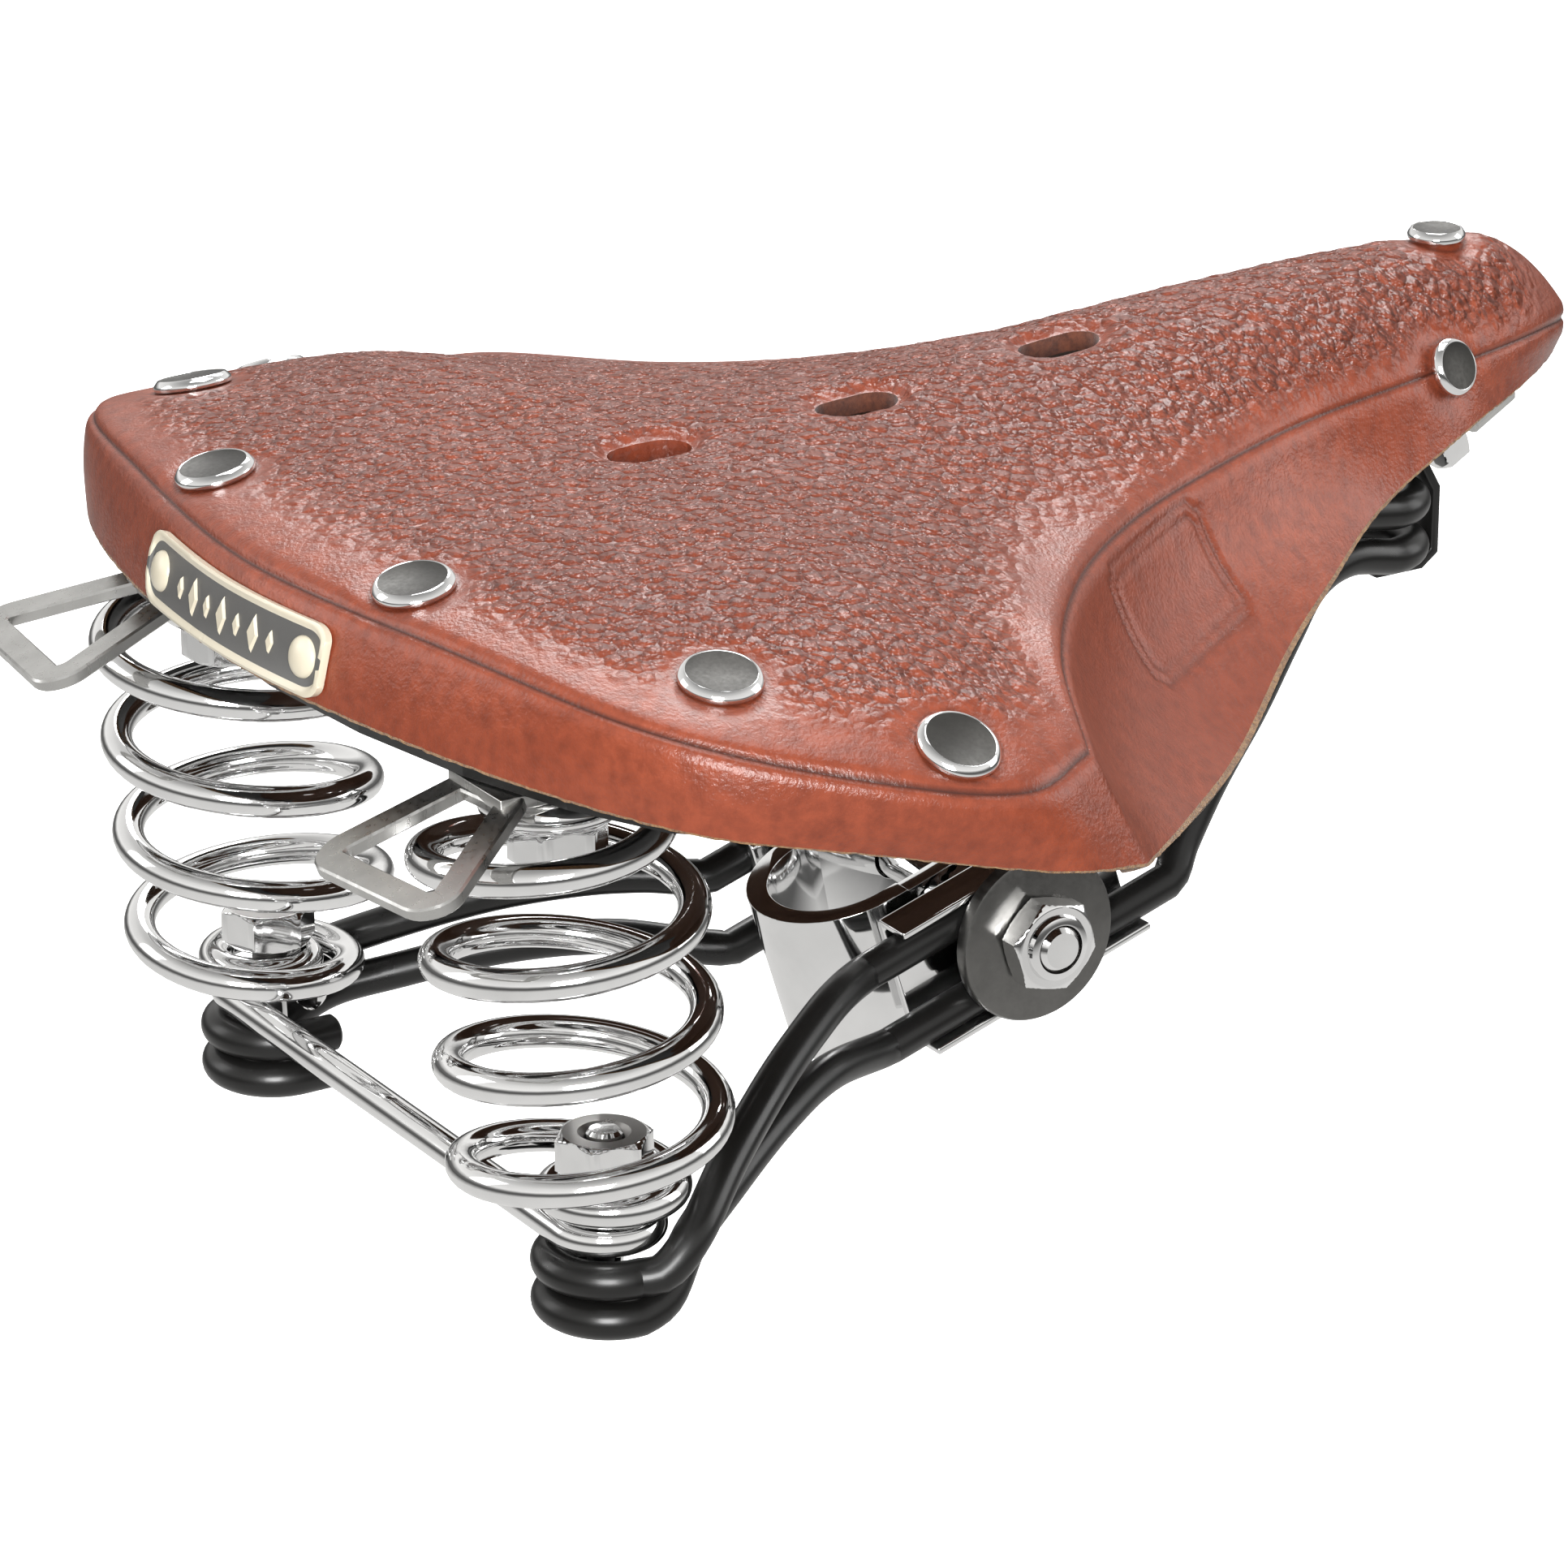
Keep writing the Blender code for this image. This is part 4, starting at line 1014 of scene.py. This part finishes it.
def make_wire(name, node_name, above, eye_z, rear, front, loop_z):
    eye = (SPRING_FOOT.x, SPRING_FOOT.y + 0.6, eye_z)
    hook = [Vector((eye[0] - EYE_R, eye[1] + 6, eye_z))] + arc(eye, EYE_R, 180, 360, 30)
    rail = [rail_end(-RAIL_HALF, above), rail_end(RAIL_HALF, above)]
    loop = arc((0, NOSE_LOOP_Y, loop_z), NOSE_LOOP_R, 0, 180, 30)
    steps = 12
    rear_bend = smooth([hook[-4], hook[-1]] + list(rear) + [rail[0], rail[0] + FORWARD * 8], steps)
    front_bend = smooth([rail[1] - FORWARD * 8, rail[1]] + list(front) + [loop[0], loop[3]], steps)
    rear_bend = even(rear_bend[steps:-steps], 1.5)
    front_bend = even(front_bend[steps:-steps], 1.5)
    half = hook[:-1] + rear_bend + front_bend[:-1]
    made = tube(name, half + loop + mirrored(reversed(half)), WIRE_R, ("enamel", "steel"))
    belongs(made, "frame", "black_enamel", node_name)


def make_wires():
    make_wire("upper_rail", "upper_wire", RAIL_HALF_PITCH, EYE_Z_UPPER,
              ((60, -70.6, -13.9), (59.2, -65.2, -9.4), (51.5, -54.9, -3.8), (42, -41.5, 1.7),
               (34, -30.1, 4.6), (28, -21.8, 5.6)),
              ((20.3, 40.8, 25.6), (16.9, 49.5, 33), (13.8, 57.8, 42), (11.2, 66, 50),
               (9.5, 74, 54.2), (8.2, 83, 54.9)), NOSE_LOOP_Z_UPPER)
    make_wire("lower_rail", "lower_wire", -RAIL_HALF_PITCH, EYE_Z_LOWER,
              ((57.8, -69.3, -18.9), (53.5, -62.8, -13.4), (48, -53.8, -10.2), (39.5, -39.7, -6.2),
               (31, -25.5, -4.8)),
              ((20.2, 44.6, 13.3), (17.2, 52, 21.2), (14.6, 60.8, 30), (12.2, 68.7, 39.3),
               (10.2, 75, 45.8), (8.5, 83, 48)), NOSE_LOOP_Z_LOWER)
    hook = arc((SPRING_FOOT.x, SPRING_FOOT.y, BAR_Z), BAR_HOOK_R, 150, -90, 48)
    bar = tube("rear_cross_bar", hook + mirrored(reversed(hook)), BAR_R, ("chrome",))
    belongs(bar, "frame", "chrome", "cross_bar")


def past(distance):
    """0 well below 0 and the distance well above it, rounded off in between."""
    return 0.5 * (distance + math.sqrt(distance ** 2 + 4))


def spring_points(side):
    """A flat spiral turn round each bolt, widening into even coils between the two."""
    height = SPRING_HEAD.z - SPRING_FOOT.z
    end = SPRING_START + 360 * height / SPRING_PITCH
    first, last = SPRING_START - SPRING_FLAT, end + SPRING_FLAT
    points = []
    count = round((last - first) / 6)
    for k in range(count + 1):
        angle = first + (last - first) * k / count
        inner = min(angle - first, last - angle)
        opened = ease((inner - 350) / 170)
        radius = SPRING_EYE_R + (SPRING_TURN_R - SPRING_EYE_R) * min(inner / 360, 1)
        radius += (SPRING_R - SPRING_TURN_R) * opened
        climb = (angle - SPRING_START) / 360 * SPRING_PITCH
        rise = past(climb) - past(climb - height)
        centre = SPRING_FOOT.lerp(SPRING_HEAD, rise / height) + SPRING_SHIFT * opened
        a = math.radians(angle)
        points.append(Vector((side * (centre.x + radius * math.cos(a)),
                              centre.y + radius * math.sin(a), centre.z)))
    return points


def make_spring(side, word):
    coil = tube(f"coil_spring_{word}", spring_points(side), SPRING_WIRE_R, ("chrome",))
    belongs(coil, "frame", "chrome", f"spring_{word}")
    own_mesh(coil)
    foot = (side * SPRING_FOOT.x, SPRING_FOOT.y, 0)
    head = (side * SPRING_HEAD.x, SPRING_HEAD.y, 0)
    r = SPRING_BOLT_R
    high, low = FOOT_BOLT_HIGH, FOOT_BOLT_LOW
    lower = [(0, high, 0), (r - 0.5, high, 0), (r, high - 0.5, 1)]
    lower += thread(r, high - 0.6, -6.5, 1.0, 0.3, 1)
    lower += [(r, -7, 0), (r, low + 3.4, 0), (6.3, low + 0.8, 0), (6.2, low + 0.4, 0), (5.6, low, 0)]
    lower += [(0, low, 0)]
    belongs(lathe(f"lower_spring_bolt_{word}", lower, foot, RISE, ("chrome", "thread")),
            "frame", "chrome", f"spring_bolt_bottom_{word}")
    high, seat, low = HEAD_BOLT_HIGH, HEAD_BOLT_SEAT, HEAD_BOLT_LOW
    upper = [(0, high, 0), (2.4, high - 0.1, 0), (4.2, high - 0.6, 0), (5.2, high - 1.5, 0)]
    upper += [(5.6, seat + 1, 0), (5.6, seat, 0), (r, seat, 0), (r, 58, 1)]
    upper += thread(r, 57, low + 0.6, 1.0, 0.3, 1) + [(r - 0.5, low, 0), (0, low, 0)]
    belongs(lathe(f"upper_spring_bolt_{word}", upper, head, RISE, ("chrome", "thread")),
            "top", "chrome", f"spring_bolt_top_{word}")
    nuts = (("bottom", foot, SPRING_NUT_BOTTOM, "frame"), ("top", head, SPRING_NUT_TOP, "top"))
    for end, spot, low, body in nuts:
        made = hex_nut(f"{end}_spring_nut_{word}", SPRING_NUT_FLATS, SPRING_NUT_HIGH, r + GAP,
                       (spot[0], spot[1], low), RISE)
        belongs(made, body, "chrome", f"spring_nut_{end}_{word}")


def make_bag_loop(side, word):
    """A flat steel strip bent round rounded corners, on a tab held by the spring's top bolt."""
    head = Vector((side * SPRING_HEAD.x, SPRING_HEAD.y, 0))
    corners = ((43.6, -92), (40.8, -110.5), (42.5, -113), (65, -111), (66.8, -108.6), (54.4, -91))
    top, fall = 58.0, 0.36
    across = Vector((0, -fall, 1)).normalized()
    path = []
    for k, (x, y) in enumerate(corners):
        corner = Vector((x, y))
        before, after = Vector(corners[k - 1]), Vector(corners[(k + 1) % len(corners)])
        cut_before = min(1.4, (before - corner).length * 0.45)
        cut_after = min(1.4, (after - corner).length * 0.45)
        start = corner + (before - corner).normalized() * cut_before
        end = corner + (after - corner).normalized() * cut_after
        for t in (0, 0.25, 0.5, 0.75, 1):
            path.append(start * (1 - t) ** 2 + corner * 2 * t * (1 - t) + end * t ** 2)
    path = [Vector((side * p.x, p.y, top + (p.y + 92) * fall)) for p in path]
    middle = sum(path, Vector()) / len(path)
    bm = bmesh.new()
    rings = []
    section = ((-2.2, -0.7), (-1.9, -1), (1.9, -1), (2.2, -0.7),
               (2.2, 0.7), (1.9, 1), (-1.9, 1), (-2.2, 0.7))
    for k, point in enumerate(path):
        along = (path[(k + 1) % len(path)] - path[k - 1]).normalized()
        out = along.cross(across).normalized()
        if out.dot(point - middle) < 0:
            out.negate()
        rings.append([bm.verts.new(point + out * w + across * h) for w, h in section])
    grid_faces(bm, rings + rings[:1], True)
    bmesh.ops.recalc_face_normals(bm, faces=bm.faces)
    loop = piece(f"bag_strap_loop_{word}", bm, ("steel",))
    outline = [(-7.2, -13), (7.2, -13)] + flat_arc((0, 0), 7.6, 0, 180, 16)
    tab = slab(f"bag_strap_tab_{word}", outline, 57.8, 59.8, head, RISE, "steel", SIDEWAYS, 0)
    carve(tab, rod(SPRING_BOLT_R + GAP, 55, 64, head, RISE))
    soften(tab, 0.3)
    belongs(settle(tab), "top", "plain_steel")
    belongs(loop, "top", "plain_steel", f"bag_loop_{word}")


# ---------------------------------------------------------------- clamp

def make_clamp():
    outer, inner, front = BORE_R + BAND_THICK, BORE_R, BOLT_AHEAD + EAR_R + 0.5
    outline = [(outer, front)] + flat_arc((0, 0), outer, 0, -180, 60) + [(-outer, front)]
    outline += [(-inner, front)] + flat_arc((0, 0), inner, -180, 0, 60) + [(inner, front)]
    band = slab("seat_post_clamp", outline, -BAND_HALF, BAND_HALF, (0, 0, 0), UPWARD, "chrome", SIDEWAYS, 0)
    ear = flat_arc((BOLT_AHEAD, BOLT_ABOVE), EAR_R, 80, -80, 30)
    side_view = [(-20, 20), (2, 20), (3, BAND_HALF - 0.2)] + ear
    side_view += [(3, -BAND_HALF + 0.2), (2, -20), (-20, -20)]
    tool = slab("side_tool", side_view, -20, 20, (0, 0, 0), SIDEWAYS, "chrome", FORWARD, 0)
    carve(band, tool, "INTERSECT")
    carve(band, rod(BOLT_R + GAP, -30, 30, CLAMP_BOLT, SIDEWAYS))
    soften(band, 0.7)
    belongs(settle(band), "post_clamp", "chrome", "clamp_band")

    end, r = BOLT_END, BOLT_R
    profile = [(0, end, 0), (r - 0.7, end, 0), (r, end - 0.7, 1)] + thread(r, end - 0.7, 27, 1.25, 0.4, 1)
    profile += [(r, 26, 0)]
    profile += [(radius, -height, look) for radius, height, look in reversed(profile)]
    belongs(lathe("clamp_cross_bolt", profile, CLAMP_BOLT, SIDEWAYS, ("chrome", "thread")),
            "cradle", "chrome", "clamp_bolt")
    for side, word in ((1, "right"), (-1, "left")):
        out = SIDEWAYS * side
        hole = BOLT_R + GAP

        def toothed(angle, radius, height):
            if radius < WASHER_R - 5:
                return radius, height
            tooth = abs((angle * 36 / math.pi) % 2 - 1) - 0.5
            return radius, height + tooth * 0.5 * (1 if height > 16 else -1)

        profile = [(hole, WASHER_OUT, 0), (5.4, WASHER_OUT, 0), (5.6, WASHER_OUT - 0.05, 0),
                   (WASHER_R, WASHER_OUT - 0.05, 0), (WASHER_R, WASHER_IN + 0.1, 0),
                   (5.6, WASHER_IN + 0.1, 0), (5.4, WASHER_IN, 0), (hole, WASHER_IN, 0),
                   (hole, WASHER_OUT, 0)]
        belongs(lathe(f"toothed_washer_{word}", profile, CLAMP_BOLT, out, ("chrome",), 144, None, toothed),
                "cradle", "chrome", f"serrated_washer_{word}")
        make_cradle(side, word)
        profile = [(hole, DISC_OUT, 0), (DISC_R - 0.9, DISC_OUT, 0), (DISC_R - 0.3, DISC_OUT - 0.2, 0),
                   (DISC_R, DISC_OUT - 0.7, 0), (DISC_R, DISC_IN + 0.3, 0), (DISC_R - 0.3, DISC_IN, 0),
                   (hole, DISC_IN, 0), (hole, DISC_OUT, 0)]
        belongs(lathe(f"disc_washer_{word}", profile, CLAMP_BOLT, out, ("disc",), 96),
                "cradle", "plain_steel", f"outer_washer_{word}")
        made = hex_nut(f"cross_bolt_nut_{word}", NUT_FLATS, NUT_HIGH, hole, CLAMP_BOLT + out * NUT_SEAT,
                       out, FORWARD, NUT_COLLAR)
        belongs(made, "cradle", "chrome", f"clamp_nut_{word}")


def make_cradle(side, word):
    """A channel that grips both rails: a flat back with a bent lip above and below."""
    back, face, reach, bend = CRADLE_BACK, CRADLE_FACE, CRADLE_REACH, CRADLE_BEND
    lip_in, lip_out = CRADLE_LIP_IN, CRADLE_LIP_OUT
    upper = [(back, 0), (back, lip_out - bend)]
    upper += flat_arc((back + bend, lip_out - bend), bend, 180, 90, 8)[1:]
    upper += [(reach, lip_out), (reach, lip_in), (face + 0.4, lip_in), (face, lip_in - 0.8), (face, 0)]
    lower = [(x, -n) for x, n in reversed(upper[1:-1])]
    outline = [(x * side, n) for x, n in upper + lower]
    plate = slab(f"rail_cradle_{word}", outline, -CRADLE_HALF, CRADLE_HALF, CLAMP_BOLT, -FORWARD, "chrome",
                 SIDEWAYS, 0)
    carve(plate, rod(BOLT_R + GAP, -30, 30, CLAMP_BOLT, SIDEWAYS))
    soften(plate, 0.35)
    belongs(settle(plate), "cradle", "chrome", f"inner_cradle_{word}")


# ---------------------------------------------------------------- nose hardware and plates

def make_nose():
    outer = ((93, 41.2), (102, 41.2), (105, 43.4), (105, 54.3), (100, 63), (98.4, 64), (94, 64), (93, 62.6))
    inner = ((93, 58.6), (99.9, 58.6), (101.1, 57.9), (103.5, 53.7), (103.5, 44.2), (101.4, 42.7),
             (93, 42.7))
    claw = slab("nose_shackle", outer + inner, -SHACKLE_HALF, SHACKLE_HALF, (0, 0, 0), SIDEWAYS,
                "enamel", (0, 1, 0), 0.35)
    belongs(settle(claw), "top", "plain_steel", "shackle")
    profile = [(0, PIN_HIGH, 0), (PIN_R, PIN_HIGH, 0), (PIN_R, PIN_THREAD_END, 1)]
    profile += thread(PIN_R, PIN_THREAD_END, PIN_NUT_SEAT, 1.0, 0.3, 1)
    profile += [(PIN_R - 0.3, PIN_LOW, 0), (0, PIN_LOW, 0)]
    belongs(lathe("tension_screw", profile, PIN_START, PIN_AXIS, ("chrome", "thread")),
            "nose", "chrome", "tension_pin")
    seat = PIN_START + PIN_AXIS * PIN_NUT_SEAT
    made = hex_nut("tension_screw_nut", PIN_NUT_FLATS, PIN_NUT_HIGH, PIN_R + GAP, seat, PIN_AXIS)
    belongs(made, "adjuster", "chrome", "tension_nut")
    plates = (("cantle_plate", "enamel", "black_enamel"), ("nose_piece", "steel", "plain_steel"))
    for name, look, slot in plates:
        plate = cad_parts[name]
        if plate.data.materials:
            plate.data.materials[0] = LOOKS[look]
        else:
            plate.data.materials.append(LOOKS[look])


# ---------------------------------------------------------------- studio

def aim(made, target):
    made.rotation_euler = (Vector(target) - made.location).to_track_quat("-Z", "Y").to_euler()


def make_camera():
    data = bpy.data.cameras.new("Camera")
    data.sensor_width = 36
    data.lens = 157.7
    data.clip_start = 0.01
    made = bpy.data.objects.new("Camera", data)
    bpy.context.scene.collection.objects.link(made)
    made.location = (0.80841, -0.51888, 0.39385)
    made.rotation_mode = "QUATERNION"
    made.rotation_quaternion = Vector((-0.7917, 0.4947, -0.3584)).to_track_quat("-Z", "Y")
    bpy.context.scene.camera = made


def make_light(name, where, size, power, target=(0, 0, 0.05), colour=(1, 1, 1)):
    data = bpy.data.lights.new(name, "AREA")
    data.shape = "RECTANGLE"
    data.size, data.size_y = size
    data.energy = power
    data.color = colour
    made = bpy.data.objects.new(name, data)
    bpy.context.scene.collection.objects.link(made)
    made.location = where
    aim(made, target)


def make_studio():
    bm = bmesh.new()
    bmesh.ops.create_grid(bm, x_segments=2, y_segments=2, size=20000)
    floor = piece("floor", bm, ())
    floor.location.z = -0.25
    made, tree, principled = shader("pale_floor", (0.92, 0.92, 0.92), 0.9)
    set_inputs(principled, {"Emission Color": (1, 1, 1, 1), "Emission Strength": 0.9})
    below = node(tree, "ShaderNodeNewGeometry")
    see_through = node(tree, "ShaderNodeBsdfTransparent")
    one_sided = node(tree, "ShaderNodeMixShader")
    tree.links.new(below.outputs["Backfacing"], one_sided.inputs[0])
    tree.links.new(principled.outputs[0], one_sided.inputs[1])
    tree.links.new(see_through.outputs[0], one_sided.inputs[2])
    tree.links.new(one_sided.outputs[0], tree.nodes["Material Output"].inputs["Surface"])
    floor.data.materials.append(made)
    floor.visible_glossy = False
    floor.visible_diffuse = False

    world = bpy.data.worlds.new("studio")
    bpy.context.scene.world = world
    world.use_nodes = True
    tree = world.node_tree
    where = node(tree, "ShaderNodeTexCoord")
    split = node(tree, "ShaderNodeSeparateXYZ")
    tree.links.new(where.outputs["Generated"], split.inputs[0])
    ramp = node(tree, "ShaderNodeValToRGB")
    tree.links.new(spread(tree, split.outputs["Z"], -1, 1), ramp.inputs["Fac"])
    stops = ((0.0, 0.80), (0.30, 0.75), (0.42, 0.10), (0.50, 0.16), (0.60, 1.0), (0.78, 0.85), (1.0, 0.32))
    ramp.color_ramp.elements[0].position = stops[0][0]
    ramp.color_ramp.elements[1].position = stops[-1][0]
    for position, _ in stops[1:-1]:
        ramp.color_ramp.elements.new(position)
    for element, (_, level) in zip(ramp.color_ramp.elements, stops):
        element.color = (level, level * 0.99, level * 0.97, 1)
    rays = node(tree, "ShaderNodeLightPath")
    banded = mixed(tree, rays.outputs["Is Glossy Ray"], (1, 1, 1), ramp.outputs["Color"])
    tree.links.new(banded, tree.nodes["Background"].inputs["Color"])
    strength = spread(tree, rays.outputs["Is Diffuse Ray"], 0, 1, 1.0, 0.14)
    tree.links.new(strength, tree.nodes["Background"].inputs["Strength"])

    make_light("key", (1.2, -0.8, 0.5), (0.6, 0.6), 36)
    make_light("top", (-0.75, 0.5, 0.8), (0.7, 0.4), 8)
    make_light("overhead", (-0.2, 0.2, 1.4), (0.8, 0.8), 9)
    make_light("rear_left", (-0.9, -1.1, 0.6), (0.6, 0.8), 4)
    make_light("nose_side", (0.5, 1.3, 0.5), (0.6, 0.9), 5)
    view = bpy.context.scene.view_settings
    view.view_transform = "Standard"


# ---------------------------------------------------------------- build

make_camera()
make_studio()
make_cover()
make_rivets()
make_badge()
make_wires()
for way, side_name in ((1, "right"), (-1, "left")):
    make_spring(way, side_name)
    make_bag_loop(way, side_name)
make_clamp()
make_nose()
